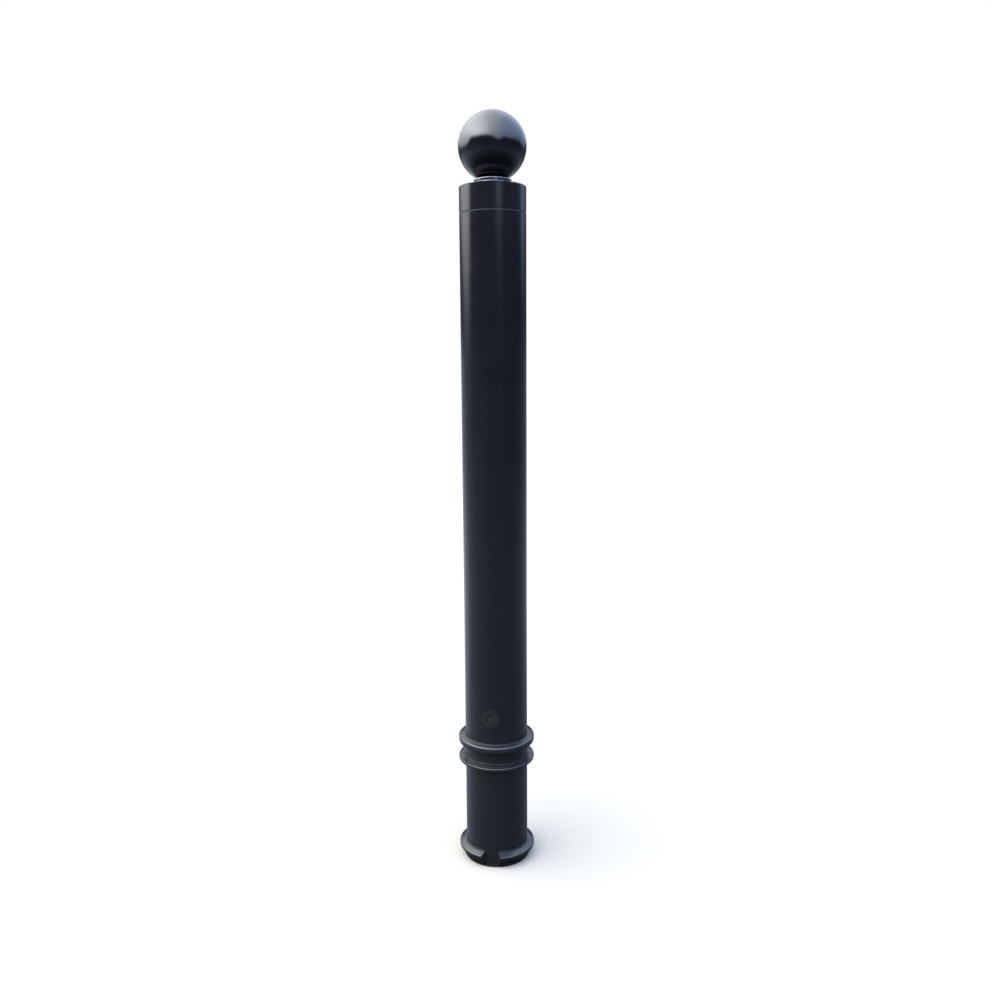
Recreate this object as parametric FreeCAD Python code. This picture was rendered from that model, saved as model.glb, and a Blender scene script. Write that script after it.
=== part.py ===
"""Rising section of a manual retractable bollard with a ball finial.

A painted steel tube slides in a round pit casing on three nylon guide collars. A gas strut inside it
takes part of the weight: the strut's rod stands on an anchor plate that is bolted to the pit floor, and
its cylinder hangs from a bulkhead in the tube. A third of a turn of a triangular key throws two latch
bolts out between the upper pair of collars, into the casing head, and holds the post up.

Millimetres, +Z up. The origin is on the pit floor, on the post's axis. -Y is the front, where the lock and
the keyway in the foot collar are. The post is drawn fully lowered on its strut, with the bolts drawn in.
"""

import FreeCAD
import Part

import math
import os

Vector = FreeCAD.Vector
X_AXIS = Vector(1, 0, 0)
Y_AXIS = Vector(0, 1, 0)
Z_AXIS = Vector(0, 0, 1)

# Post tube: 4 in structural hollow section
TUBE_R = 101.6 / 2
TUBE_WALL = 4.0
BORE_R = TUBE_R - TUBE_WALL
TUBE_BOTTOM = 6.0
TUBE_TOP = 1035.5
EDGE_BREAK = 0.8

# Guide collars, in segments, on the outside of the tube. The crown rounds the rim's top and the hem its
# underside; shallow channels in the top face carry grit away.
COLLAR_R = 62.0
COLLAR_INNER_ROUND = 2.0
FOOT_COLLAR_Z = 20.2
FOOT_COLLAR_THICK = 8.3
FOOT_COLLAR_CROWN = 2.5
FOOT_COLLAR_HEM = 2.5
FOOT_CHANNELS = (54.9, 57.5)
LOWER_COLLAR_Z = 170.7
LOWER_COLLAR_THICK = 11.0
LOWER_COLLAR_CROWN = 3.0
LOWER_COLLAR_HEM = 3.0
LOWER_CHANNELS = (55.9,)
LATCH_GROOVE = 16.5
UPPER_COLLAR_THICK = 13.8
UPPER_COLLAR_CROWN = 5.0
UPPER_COLLAR_HEM = 3.5
UPPER_CHANNELS = (54.9,)
UPPER_COLLAR_Z = LOWER_COLLAR_Z + LOWER_COLLAR_THICK + LATCH_GROOVE
CHANNEL_WIDTH = 1.5
CHANNEL_DEPTH = 0.6
COLLAR_GAP = 0.5
SCREW_R = 1.5
SCREW_ANGLES = (45, 135, 225, 315)
FOOT_SCREW_ANGLES = (45, 135, 205, 245, 295, 335)

# Keyway for the casing's rail, in the foot collar and the boot
KEYWAY_INNER = 19.8
KEYWAY_OUTER = 33.2

# Rubber boot on the tube's end
BOOT_BOTTOM_R = 48.5
BOOT_TOP_R = 60.0
BOOT_INNER_R = BORE_R - 2.8
BOOT_LIP = 12.0

# Head cap, neck ring and ball finial
GASKET_THICK = 1.0
CAP_HEIGHT = 39.6
CAP_BASE = TUBE_TOP + GASKET_THICK
CAP_TOP = CAP_BASE + CAP_HEIGHT
CAP_WALL = 4.0
SPIGOT_R = BORE_R - 0.3
SPIGOT_DEPTH = 25.0
NECK_R = 28.5
NECK_HEIGHT = 10.0
NECK_ROUND = 1.2
NECK_GROOVE_Z = 6.9
NECK_GROOVE_WIDTH = 1.0
NECK_GROOVE_DEPTH = 1.4
BALL_R = 51.4
BALL_WALL = 4.5
BALL_Z = CAP_TOP + 57.8
STUD_R = 8.0
STUD_REACH = 24.0

# Gas strut, eye to eye on the axis of the post
TRAVEL = 850.0
RUN = 0.05
PIN_R = 5.0
LOWER_PIN_Z = 20.0
EYE_R = 12.0
EYE_WIDTH = 14.0
LUG_THICK = 5.0
LUG_GAP = 15.0
CLIP_X = LUG_GAP / 2 + LUG_THICK + 0.4
CLIP_THICK = 1.2
ANCHOR_R = 42.0
ANCHOR_THICK = 6.0
ANCHOR_PCD = 62.0
ANCHOR_HOLE_R = 4.5
ROD_R = 7.0
ROD_THREAD_R = 5.0
ROD_BOTTOM = 44.0
STRUT_R = 14.0
STRUT_BORE_R = 12.0
STRUT_BOTTOM = 50.0
GLAND_TOP = 78.0
PISTON_BOTTOM = GLAND_TOP + TRAVEL + 2.0
PISTON_TOP = PISTON_BOTTOM + 14.0
STRUT_TOP = PISTON_TOP + 12.0
UPPER_PIN_Z = STRUT_TOP + 30.0
BULKHEAD_Z = UPPER_PIN_Z + EYE_R + 2.0
BULKHEAD_THICK = 8.0

# Key lock, pinion and rack
LOCK_Z = 252.6
ESCUTCHEON_R = 14.5
ESCUTCHEON_PROUD = 1.2
BARREL_R = 12.0
BARREL_END_Y = -32.0
PLUG_R = 8.0
KEY_STUD_R = 5.2
TAIL_R = 5.0
TAIL_FLAT = 4.0
TAIL_END_Y = -21.5
CASE_OUTER_Y = -42.0
CASE_INNER_Y = -39.0
MODULE = 1.0
PINION_TEETH = 18
PITCH_R = MODULE * PINION_TEETH / 2
PRESSURE_ANGLE = math.radians(20)
BACKLASH = 0.08
KEY_TURN = math.radians(120)
RACK_X = PITCH_R - MODULE
RACK_ROOT_X = PITCH_R + 1.25 * MODULE
RACK_BACK = 16.0
RACK_FRONT_Y = -31.0
RACK_REAR_Y = -24.0
PINION_CLIP_Y = RACK_REAR_Y + 0.3
KEEPERS = ((222.0, 230.0), (272.0, 280.0))
RACK_TOP = 300.0

# Latch bolts, moved by a yoke with 45 degree cam slots
LATCH_Z = LOWER_COLLAR_Z + LOWER_COLLAR_THICK + LATCH_GROOVE / 2
LATCH_TRAVEL = PITCH_R * KEY_TURN
BOLT_R = 6.0
BOLT_TIP = TUBE_R - 0.5
BOLT_TAIL = 17.2
LATCH_PIN_X = BOLT_TAIL + 4.0
LATCH_PIN_R = 1.95
GUIDE_INNER_X = 41.0
YOKE_Z = LATCH_Z + 19.3
YOKE_THICK = 6.0
YOKE_BORE_R = 17.0
LEG_THICK = 4.0
LEG_ROUND = 5.4
RACK_BOTTOM = YOKE_Z + YOKE_THICK
YOKE_SCREW_X = (RACK_ROOT_X + RACK_BACK) / 2
YOKE_SCREW_Y = (RACK_FRONT_Y + RACK_REAR_Y) / 2


def rod_z(radius, z0, z1, x=0.0, y=0.0):
    """Upright cylinder from z0 to z1."""
    return Part.makeCylinder(radius, z1 - z0, Vector(x, y, z0), Z_AXIS)


def rod_x(radius, x0, x1, z, y=0.0):
    """Cylinder along X from x0 to x1."""
    return Part.makeCylinder(radius, x1 - x0, Vector(x0, y, z), X_AXIS)


def rod_y(radius, y0, y1, z, x=0.0):
    """Cylinder along Y from y0 to y1."""
    return Part.makeCylinder(radius, y1 - y0, Vector(x, y0, z), Y_AXIS)


def ring_z(outer, inner, z0, z1):
    """Upright tube or washer."""
    return rod_z(outer, z0, z1).cut(rod_z(inner, z0 - 1, z1 + 1))


def block(x0, x1, y0, y1, z0, z1):
    return Part.makeBox(x1 - x0, y1 - y0, z1 - z0, Vector(x0, y0, z0))


def turned(points):
    """Solid of revolution about Z from a closed outline of (radius, z) points."""
    corners = [Vector(r, 0, z) for r, z in points]
    outline = Part.makePolygon(corners + corners[:1])
    return Part.Face(outline).revolve(Vector(), Z_AXIS, 360)


def plate_xz(points, y0, y1):
    """Flat plate of (x, z) outline between two Y planes."""
    corners = [Vector(x, y0, z) for x, z in points]
    outline = Part.makePolygon(corners + corners[:1])
    return Part.Face(outline).extrude(Vector(0, y1 - y0, 0))


def hexagon_z(across_flats, z0, z1):
    corner = across_flats / math.sqrt(3)
    points = [Vector(corner * math.cos(math.radians(60 * i)), corner * math.sin(math.radians(60 * i)), z0)
              for i in range(6)]
    return Part.Face(Part.makePolygon(points + points[:1])).extrude(Vector(0, 0, z1 - z0))


def mirrored(shape):
    """The same piece on the other side of the YZ plane."""
    return shape.mirror(Vector(), X_AXIS)


# ---------------------------------------------------------------- post

def post_tube():
    """Tube with broken end edges, the lock hole, the two latch windows and the collar screw holes."""
    tube = turned([
        (BORE_R, TUBE_BOTTOM), (TUBE_R - EDGE_BREAK, TUBE_BOTTOM), (TUBE_R, TUBE_BOTTOM + EDGE_BREAK),
        (TUBE_R, TUBE_TOP - EDGE_BREAK), (TUBE_R - EDGE_BREAK, TUBE_TOP), (BORE_R, TUBE_TOP),
    ])
    tube = tube.cut(rod_y(BARREL_R + 0.2, -TUBE_R - 5, -BORE_R + 10, LOCK_Z))
    for window in latch_windows():
        tube = tube.cut(window)
    return tube.cut(collar_screw_bores())


def latch_windows():
    window = rod_x(BOLT_R + 2.2, BORE_R - 10, TUBE_R + 5, LATCH_Z)
    return [window, mirrored(window)]


def foot_boot():
    """Tapered rubber landing boot round the tube's end, with a lip in the bore and the keyway cut out."""
    boot = turned([
        (BOOT_INNER_R, 0), (BOOT_BOTTOM_R - 1.5, 0), (BOOT_BOTTOM_R, 1.0), (BOOT_TOP_R, FOOT_COLLAR_Z),
        (TUBE_R, FOOT_COLLAR_Z), (TUBE_R, TUBE_BOTTOM + EDGE_BREAK), (TUBE_R - EDGE_BREAK, TUBE_BOTTOM),
        (BORE_R - 0.1, TUBE_BOTTOM), (BORE_R - 0.1, TUBE_BOTTOM + BOOT_LIP - 1),
        (BORE_R - 1.1, TUBE_BOTTOM + BOOT_LIP), (BOOT_INNER_R, TUBE_BOTTOM + BOOT_LIP),
    ])
    return boot.cut(keyway(TUBE_BOTTOM, FOOT_COLLAR_Z + 1))


# ---------------------------------------------------------------- guide collars

class Collar:
    def __init__(self, name, base, thick, crown, hem, channels, screw_angles):
        self.name, self.base, self.thick = name, base, thick
        self.crown, self.hem = crown, hem
        self.channels, self.screw_angles = channels, screw_angles


COLLARS = (
    Collar("foot_collar", FOOT_COLLAR_Z, FOOT_COLLAR_THICK, FOOT_COLLAR_CROWN, FOOT_COLLAR_HEM,
           FOOT_CHANNELS, FOOT_SCREW_ANGLES),
    Collar("lower_collar", LOWER_COLLAR_Z, LOWER_COLLAR_THICK, LOWER_COLLAR_CROWN, LOWER_COLLAR_HEM,
           LOWER_CHANNELS, SCREW_ANGLES),
    Collar("upper_collar", UPPER_COLLAR_Z, UPPER_COLLAR_THICK, UPPER_COLLAR_CROWN, UPPER_COLLAR_HEM,
           UPPER_CHANNELS, SCREW_ANGLES),
)


def radial_pins(radius, inner, outer):
    """One pin per collar screw, pointing at the axis."""
    pins = []
    for collar in COLLARS:
        for degrees in collar.screw_angles:
            way = Vector(math.cos(math.radians(degrees)), math.sin(math.radians(degrees)), 0)
            start = way * inner + Vector(0, 0, collar.base + collar.thick / 2)
            pins.append(Part.makeCylinder(radius, outer - inner, start, way))
    return pins


def collar_screw_bores():
    return Part.makeCompound(radial_pins(SCREW_R, BORE_R - 2, COLLAR_R + 2))


def collar_screws():
    """Headless set screws, sunk below the collars' rim."""
    screws = radial_pins(SCREW_R, BORE_R + 0.4, COLLAR_R - 1.5)
    sockets = Part.makeCompound(radial_pins(SCREW_R / 2, COLLAR_R - 3.5, COLLAR_R))
    return Part.makeCompound([screw.cut(sockets) for screw in screws])


def circles(shape, radius, z):
    """The shape's round edges of that radius at that level."""
    return [e for e in shape.Edges if e.isClosed() and abs(e.Curve.Radius - radius) < 1e-3
            and abs(e.CenterOfMass.z - z) < 1e-3]


def collar_ring(collar):
    """Bead with all four edges rounded and channels in its top face."""
    base, top = collar.base, collar.base + collar.thick
    ring = ring_z(COLLAR_R, TUBE_R, base, top)
    ring = ring.makeFillet(collar.crown, circles(ring, COLLAR_R, top))
    ring = ring.makeFillet(collar.hem, circles(ring, COLLAR_R, base))
    ring = ring.makeFillet(COLLAR_INNER_ROUND, circles(ring, TUBE_R, top) + circles(ring, TUBE_R, base))
    for middle in collar.channels:
        half = CHANNEL_WIDTH / 2
        ring = ring.cut(ring_z(middle + half, middle - half, top - CHANNEL_DEPTH, top + 1))
    return ring


def keyway(low, high):
    """Flared slot outside the tube, on the front, which runs on the casing's rail."""
    inner, outer = KEYWAY_INNER / 2, KEYWAY_OUTER / 2
    slope = (outer - inner) / (COLLAR_R - TUBE_R)
    past = 3.0
    near, far = inner - slope * past, outer + slope * past
    corners = [
        Vector(-near, past - TUBE_R, low), Vector(near, past - TUBE_R, low),
        Vector(far, -COLLAR_R - past, low), Vector(-far, -COLLAR_R - past, low),
    ]
    slot = Part.Face(Part.makePolygon(corners + corners[:1])).extrude(Vector(0, 0, high - low))
    return slot.cut(rod_z(TUBE_R, low - 1, high + 1))


def collar_segments(collar):
    """Front and rear halves, which meet at the post's sides; the keyway parts the foot collar's front."""
    ring = collar_ring(collar).cut(collar_screw_bores())
    name = collar.name
    reach = COLLAR_R + 5
    low, high = collar.base - 1, collar.base + collar.thick + 1
    front = ring.common(block(-reach, reach, -reach, -COLLAR_GAP / 2, low, high))
    rear = ring.common(block(-reach, reach, COLLAR_GAP / 2, reach, low, high))
    if name != "foot_collar":
        return {name + "_front": front, name + "_rear": rear}
    front = front.cut(keyway(low, high))
    return {
        name + "_front_left": front.common(block(-reach, 0, -reach, 0, low, high)),
        name + "_front_right": front.common(block(0, reach, -reach, 0, low, high)),
        name + "_rear": rear,
    }


# ---------------------------------------------------------------- head

def head_cap():
    """Cup-shaped cast cap: a skirt flush with the tube, a spigot in its bore and a boss for the stud."""
    roof = CAP_TOP - 5.5
    cup_r = SPIGOT_R - CAP_WALL
    boss_r = STUD_R + 8
    return turned([
        (SPIGOT_R, CAP_BASE - SPIGOT_DEPTH + 1), (SPIGOT_R, CAP_BASE), (TUBE_R - EDGE_BREAK, CAP_BASE),
        (TUBE_R, CAP_BASE + EDGE_BREAK), (TUBE_R, CAP_TOP - 1.5), (TUBE_R - 1.5, CAP_TOP),
        (STUD_R + 0.3, CAP_TOP), (STUD_R + 0.3, roof - 10), (boss_r, roof - 10), (boss_r + 1, roof),
        (cup_r, roof), (cup_r, CAP_BASE - SPIGOT_DEPTH), (SPIGOT_R - 1, CAP_BASE - SPIGOT_DEPTH),
    ])


def cap_gasket():
    return ring_z(TUBE_R - 0.5, BORE_R + 0.1, TUBE_TOP, CAP_BASE)


def ball_finial():
    """Hollow cast ball with a tapped boss inside for the stud."""
    centre = Vector(0, 0, BALL_Z)
    hollow = Part.makeSphere(BALL_R - BALL_WALL, centre)
    boss = rod_z(STUD_R + 9, CAP_TOP, CAP_TOP + 32)
    tapped = rod_z(STUD_R, CAP_TOP - 1, CAP_TOP + 26)
    return Part.makeSphere(BALL_R, centre).cut(hollow.cut(boss)).cut(tapped).removeSplitter()


def neck_ring():
    """Turned aluminium ring, grooved round its rim into two beads; the ball sits in its hollow top."""
    top = CAP_TOP + NECK_HEIGHT
    ring = ring_z(NECK_R, STUD_R + 0.3, CAP_TOP, top)
    ring = ring.makeFillet(NECK_ROUND, circles(ring, NECK_R, CAP_TOP) + circles(ring, NECK_R, top))
    groove_z = CAP_TOP + NECK_GROOVE_Z
    ring = ring.cut(ring_z(NECK_R + 1, NECK_R - NECK_GROOVE_DEPTH, groove_z, groove_z + NECK_GROOVE_WIDTH))
    return ring.cut(Part.makeSphere(BALL_R, Vector(0, 0, BALL_Z)))


def finial_stud():
    """Stud that ties the ball and the cap down to the bulkhead, with chamfered ends."""
    top = CAP_TOP + STUD_REACH
    return turned([
        (0, BULKHEAD_Z), (STUD_R - 1, BULKHEAD_Z), (STUD_R, BULKHEAD_Z + 1), (STUD_R, top - 1),
        (STUD_R - 1, top), (0, top),
    ])


def clevis_lugs(pin_z, root_z):
    """Pair of round-nosed lugs from a plate at root_z to the pin at pin_z."""
    inner = LUG_GAP / 2
    outer = inner + LUG_THICK
    low, high = sorted((pin_z, root_z))
    lug = rod_x(EYE_R, inner, outer, pin_z).fuse(block(inner, outer, -EYE_R, EYE_R, low, high))
    lug = lug.cut(rod_x(PIN_R + RUN, inner - 1, outer + 1, pin_z))
    return [lug, mirrored(lug)]


def strut_bulkhead():
    """Disc welded into the bore, tapped for the finial stud, with the strut's upper lugs under it."""
    disc = rod_z(BORE_R, BULKHEAD_Z, BULKHEAD_Z + BULKHEAD_THICK)
    disc = disc.fuse(clevis_lugs(UPPER_PIN_Z, BULKHEAD_Z))
    return disc.cut(rod_z(STUD_R, BULKHEAD_Z - 1, BULKHEAD_Z + BULKHEAD_THICK + 1)).removeSplitter()


# ---------------------------------------------------------------- gas strut

def clevis_pin(z):
    """Headed pin along X with a groove for its clip."""
    head_x = -(LUG_GAP / 2 + LUG_THICK + 0.2)
    pin = rod_x(PIN_R, head_x, CLIP_X + CLIP_THICK + 2.5, z).fuse(rod_x(PIN_R + 2.5, head_x - 3, head_x, z))
    return pin.cut(clip_ring(PIN_R + 1, z)).removeSplitter()


def clip_ring(outer, z):
    """Ring from the bottom of the clip groove out to the given radius."""
    end = CLIP_X + CLIP_THICK
    return rod_x(outer, CLIP_X, end, z).cut(rod_x(PIN_R - 1, CLIP_X, end, z))


def pin_clip(z):
    """Open retaining ring in the pin's groove."""
    mouth = block(CLIP_X - 1, CLIP_X + 3, -3, 3, z - PIN_R - 5, z)
    return clip_ring(PIN_R + 3, z).cut(mouth)


def strut_eye(pin_z, shank_end, bore_r):
    """Eye end fitting. Its shank is flatted between the lugs and round past them, towards shank_end.

    A bore_r over 0 is tapped for the rod.
    """
    half = EYE_WIDTH / 2
    shank_r = ROD_R + 2
    way = 1 if shank_end > pin_z else -1
    low, high = sorted((pin_z, shank_end))
    flatted = rod_z(shank_r, low, high).common(block(-half, half, -shank_r, shank_r, low, high))
    low, high = sorted((pin_z + way * (EYE_R + 1), shank_end))
    eye = rod_x(EYE_R, -half, half, pin_z).fuse([flatted, rod_z(shank_r, low, high)])
    if bore_r:
        eye = eye.cut(rod_z(bore_r, pin_z + PIN_R + 3, shank_end + 1))
    return eye.cut(rod_x(PIN_R + RUN, -half - 1, half + 1, pin_z)).removeSplitter()


def anchor_plate():
    """Round floor plate with four fixing holes and the strut's lower lugs."""
    edge = 1.0
    plate = turned([
        (0, 0), (ANCHOR_R - edge, 0), (ANCHOR_R, edge), (ANCHOR_R, ANCHOR_THICK - edge),
        (ANCHOR_R - edge, ANCHOR_THICK), (0, ANCHOR_THICK),
    ])
    plate = plate.fuse(clevis_lugs(LOWER_PIN_Z, ANCHOR_THICK))
    for degrees in SCREW_ANGLES:
        angle = math.radians(degrees)
        x, y = ANCHOR_PCD / 2 * math.cos(angle), ANCHOR_PCD / 2 * math.sin(angle)
        plate = plate.cut(rod_z(ANCHOR_HOLE_R, -1, ANCHOR_THICK + 1, x, y))
    return plate.removeSplitter()


def rod_lock_nut():
    nut = hexagon_z(17, ROD_BOTTOM - 6, ROD_BOTTOM)
    return nut.cut(rod_z(ROD_THREAD_R, ROD_BOTTOM - 7, ROD_BOTTOM + 1))


def strut_rod():
    """Chromed rod with a threaded spigot at each end."""
    return turned([
        (0, LOWER_PIN_Z + PIN_R + 4), (ROD_THREAD_R, LOWER_PIN_Z + PIN_R + 4), (ROD_THREAD_R, ROD_BOTTOM),
        (ROD_R - 0.5, ROD_BOTTOM), (ROD_R, ROD_BOTTOM + 0.5), (ROD_R, PISTON_BOTTOM),
        (ROD_THREAD_R, PISTON_BOTTOM), (ROD_THREAD_R, PISTON_TOP + 4), (0, PISTON_TOP + 4),
    ])


def strut_piston():
    """Piston with a seal groove."""
    r = STRUT_BORE_R - 0.5
    low, high = PISTON_BOTTOM + 4.5, PISTON_TOP - 4.5
    return turned([
        (ROD_THREAD_R, PISTON_BOTTOM), (r - 1, PISTON_BOTTOM), (r, PISTON_BOTTOM + 1),
        (r, low), (r - 2, low), (r - 2, high), (r, high),
        (r, PISTON_TOP - 1), (r - 1, PISTON_TOP), (ROD_THREAD_R, PISTON_TOP),
    ])


def piston_seal():
    return ring_z(STRUT_BORE_R - RUN, STRUT_BORE_R - 2.5, PISTON_BOTTOM + 4.5, PISTON_TOP - 4.5)


def piston_nut():
    nut = hexagon_z(16, PISTON_TOP, PISTON_TOP + 4.5)
    return nut.cut(rod_z(ROD_THREAD_R, PISTON_TOP - 1, PISTON_TOP + 6))


def strut_cylinder():
    """Drawn tube, its lower end rolled in under the wiper."""
    lip_r = ROD_R + 2.5
    return turned([
        (lip_r, STRUT_BOTTOM), (STRUT_R - 1.5, STRUT_BOTTOM), (STRUT_R, STRUT_BOTTOM + 1.5),
        (STRUT_R, STRUT_TOP), (STRUT_BORE_R, STRUT_TOP), (STRUT_BORE_R, STRUT_BOTTOM + 1.5),
        (lip_r, STRUT_BOTTOM + 1.5),
    ])


def rod_wiper():
    return ring_z(STRUT_BORE_R, ROD_R + RUN, STRUT_BOTTOM + 1.5, STRUT_BOTTOM + 5)


def strut_gland():
    """Rod guide with an inner groove for the rod seal."""
    bore = ROD_R + RUN
    base = STRUT_BOTTOM + 5
    return turned([
        (bore, base), (STRUT_BORE_R, base), (STRUT_BORE_R, GLAND_TOP), (bore, GLAND_TOP),
        (bore, GLAND_TOP - 8), (bore + 2.5, GLAND_TOP - 8),
        (bore + 2.5, GLAND_TOP - 12), (bore, GLAND_TOP - 12),
    ])


def rod_seal():
    return ring_z(ROD_R + RUN + 2.5, ROD_R + RUN, GLAND_TOP - 12, GLAND_TOP - 8)


def strut_end_plug():
    """Plug welded into the top of the cylinder."""
    return turned([
        (0, STRUT_TOP - 6), (STRUT_BORE_R, STRUT_TOP - 6), (STRUT_BORE_R, STRUT_TOP), (STRUT_R, STRUT_TOP),
        (STRUT_R, STRUT_TOP + 4), (STRUT_R - 2, STRUT_TOP + 6), (0, STRUT_TOP + 6),
    ])


# ---------------------------------------------------------------- lock

def lock_barrel():
    """Barrel through the tube wall, under a thin round head curved to the tube."""
    face_r = TUBE_R + ESCUTCHEON_PROUD
    skin = ring_z(face_r, TUBE_R, LOCK_Z - 20, LOCK_Z + 20)
    head = skin.common(rod_y(ESCUTCHEON_R, -TUBE_R - 5, -TUBE_R + 5, LOCK_Z))
    full = rod_z(face_r, LOCK_Z - 20, LOCK_Z + 20)
    barrel = rod_y(BARREL_R, -TUBE_R - 5, BARREL_END_Y, LOCK_Z).common(full)
    mouth = rod_y(PLUG_R - 1.4, -TUBE_R - 5, BARREL_END_Y + 1, LOCK_Z)
    bore = rod_y(PLUG_R + 0.1, -TUBE_R + 1.8, BARREL_END_Y + 1, LOCK_Z)
    return head.fuse(barrel).cut(mouth).cut(bore).removeSplitter()


def lock_saddle():
    """Spacer with one face curved to the bore and one flat, so that the flat case seats squarely."""
    pad = block(-17, 17, -BORE_R - 1, CASE_OUTER_Y, LOCK_Z - 16.5, LOCK_Z + 16.5)
    pad = pad.common(rod_z(BORE_R, LOCK_Z - 20, LOCK_Z + 20))
    return pad.cut(rod_y(BARREL_R + 0.2, -TUBE_R, CASE_OUTER_Y + 5, LOCK_Z))


def lock_case():
    """Die-cast back plate with two keepers that the rack slides through."""
    plate = block(-16, 19, CASE_OUTER_Y, CASE_INNER_Y, 218, 284)
    corners = [e for e in plate.Edges if abs(e.tangentAt(e.FirstParameter).y) > 0.99]
    plate = plate.makeFillet(5, corners)
    for low, high in KEEPERS:
        plate = plate.fuse(block(4.5, 19, CASE_INNER_Y, RACK_REAR_Y + 3.5, low, high))
    window = block(RACK_X - 0.3, RACK_BACK + 0.3, RACK_FRONT_Y - 0.3, RACK_REAR_Y + 0.3, 217, 285)
    plate = plate.cut(window)
    return plate.cut(rod_y(BARREL_R + 0.2, -TUBE_R, CASE_INNER_Y + 5, LOCK_Z)).removeSplitter()


def lock_nut():
    """Ring nut with four spanner slots."""
    nut = rod_y(16, CASE_INNER_Y, CASE_INNER_Y + 5, LOCK_Z)
    nut = nut.cut(rod_y(BARREL_R, CASE_INNER_Y - 1, CASE_INNER_Y + 6, LOCK_Z))
    slot = block(-2, 2, CASE_INNER_Y - 1, CASE_INNER_Y + 6, LOCK_Z + 14, LOCK_Z + 18)
    for quarter in range(4):
        turned_slot = slot.copy()
        turned_slot.rotate(Vector(0, 0, LOCK_Z), Y_AXIS, 90 * quarter + 45)
        nut = nut.cut(turned_slot)
    return nut


def flatted_tail(y0, y1):
    """Two flats on the plug's tail drive the pinion."""
    tail = rod_y(TAIL_R, y0, y1, LOCK_Z)
    return tail.common(block(-TAIL_FLAT, TAIL_FLAT, y0, y1, LOCK_Z - TAIL_R, LOCK_Z + TAIL_R))


def lock_plug():
    """Plug with a raised triangular key stud in front and a flatted tail for the pinion."""
    front = -TUBE_R + 1.8
    plug = rod_y(PLUG_R, front, RACK_FRONT_Y, LOCK_Z).fuse(flatted_tail(RACK_FRONT_Y, TAIL_END_Y))
    corners = [math.radians(120 * i) for i in range(3)]
    points = [(KEY_STUD_R * math.sin(a), LOCK_Z + KEY_STUD_R * math.cos(a)) for a in corners]
    stud = plate_xz(points, front - 2.2, front)
    groove = rod_y(TAIL_R + 1, PINION_CLIP_Y, PINION_CLIP_Y + CLIP_THICK, LOCK_Z)
    groove = groove.cut(rod_y(TAIL_R - 1, PINION_CLIP_Y, PINION_CLIP_Y + CLIP_THICK, LOCK_Z))
    return plug.fuse(stud).cut(groove).removeSplitter()


def involute(angle):
    return math.tan(angle) - angle


def lock_pinion():
    """Spur pinion with involute flanks; a tooth space faces the rack at rest."""
    base_r = PITCH_R * math.cos(PRESSURE_ANGLE)
    tip_r = PITCH_R + MODULE
    root_r = PITCH_R - 1.25 * MODULE
    half_pitch = math.pi / (2 * PINION_TEETH) - BACKLASH / PITCH_R / 2
    radii = [base_r + (tip_r - base_r) * i / 3 for i in range(4)]
    widest = half_pitch + involute(PRESSURE_ANGLE)
    flank = [(r, widest - involute(math.acos(min(1.0, base_r / r)))) for r in radii]

    def point(radius, angle):
        return Vector(radius * math.cos(angle), RACK_FRONT_Y, LOCK_Z + radius * math.sin(angle))

    edges = []
    step = 2 * math.pi / PINION_TEETH
    for tooth in range(PINION_TEETH):
        centre = (tooth + 0.5) * step
        rising = [point(r, centre - a) for r, a in flank]
        falling = [point(r, centre + a) for r, a in reversed(flank)]
        root_in = point(root_r, centre - flank[0][1])
        root_out = point(root_r, centre + flank[0][1])
        root_next = point(root_r, centre + step - flank[0][1])
        up, down = Part.BSplineCurve(), Part.BSplineCurve()
        up.interpolate(rising)
        down.interpolate(falling)
        edges += [
            Part.makeLine(root_in, rising[0]), up.toShape(),
            Part.Arc(rising[-1], point(tip_r, centre), falling[0]).toShape(), down.toShape(),
            Part.makeLine(falling[-1], root_out),
            Part.Arc(root_out, point(root_r, centre + step / 2), root_next).toShape(),
        ]
    blank = Part.Face(Part.Wire(edges)).extrude(Vector(0, RACK_REAR_Y - RACK_FRONT_Y, 0))
    return blank.cut(flatted_tail(RACK_FRONT_Y - 1, RACK_REAR_Y + 1))


def pinion_clip():
    ring = rod_y(TAIL_R + 2.5, PINION_CLIP_Y, PINION_CLIP_Y + CLIP_THICK, LOCK_Z)
    ring = ring.cut(rod_y(TAIL_R - 1, PINION_CLIP_Y - 1, PINION_CLIP_Y + 2, LOCK_Z))
    return ring.cut(block(-2.5, 2.5, PINION_CLIP_Y - 1, PINION_CLIP_Y + 2, LOCK_Z, LOCK_Z + 10))


def lock_rack():
    """Upright bar with straight-flanked teeth facing the pinion."""
    pitch = math.pi * MODULE
    half = pitch / 4 - BACKLASH / 2
    tip_half = half - MODULE * math.tan(PRESSURE_ANGLE)
    root_half = half + 1.25 * MODULE * math.tan(PRESSURE_ANGLE)
    outline = [(RACK_BACK, RACK_BOTTOM), (RACK_BACK, RACK_TOP), (RACK_ROOT_X, RACK_TOP)]
    for tooth in range(11, -5, -1):
        z = LOCK_Z + tooth * pitch
        outline += [(RACK_ROOT_X, z + root_half), (RACK_X, z + tip_half)]
        outline += [(RACK_X, z - tip_half), (RACK_ROOT_X, z - root_half)]
    outline += [(RACK_ROOT_X, RACK_BOTTOM)]
    bar = plate_xz(outline, RACK_FRONT_Y, RACK_REAR_Y)
    return bar.cut(yoke_screw_shank(2.0, RACK_BOTTOM + 12))


def yoke_screw_shank(radius, top):
    return rod_z(radius, YOKE_Z - 1, top, YOKE_SCREW_X, YOKE_SCREW_Y)


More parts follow.
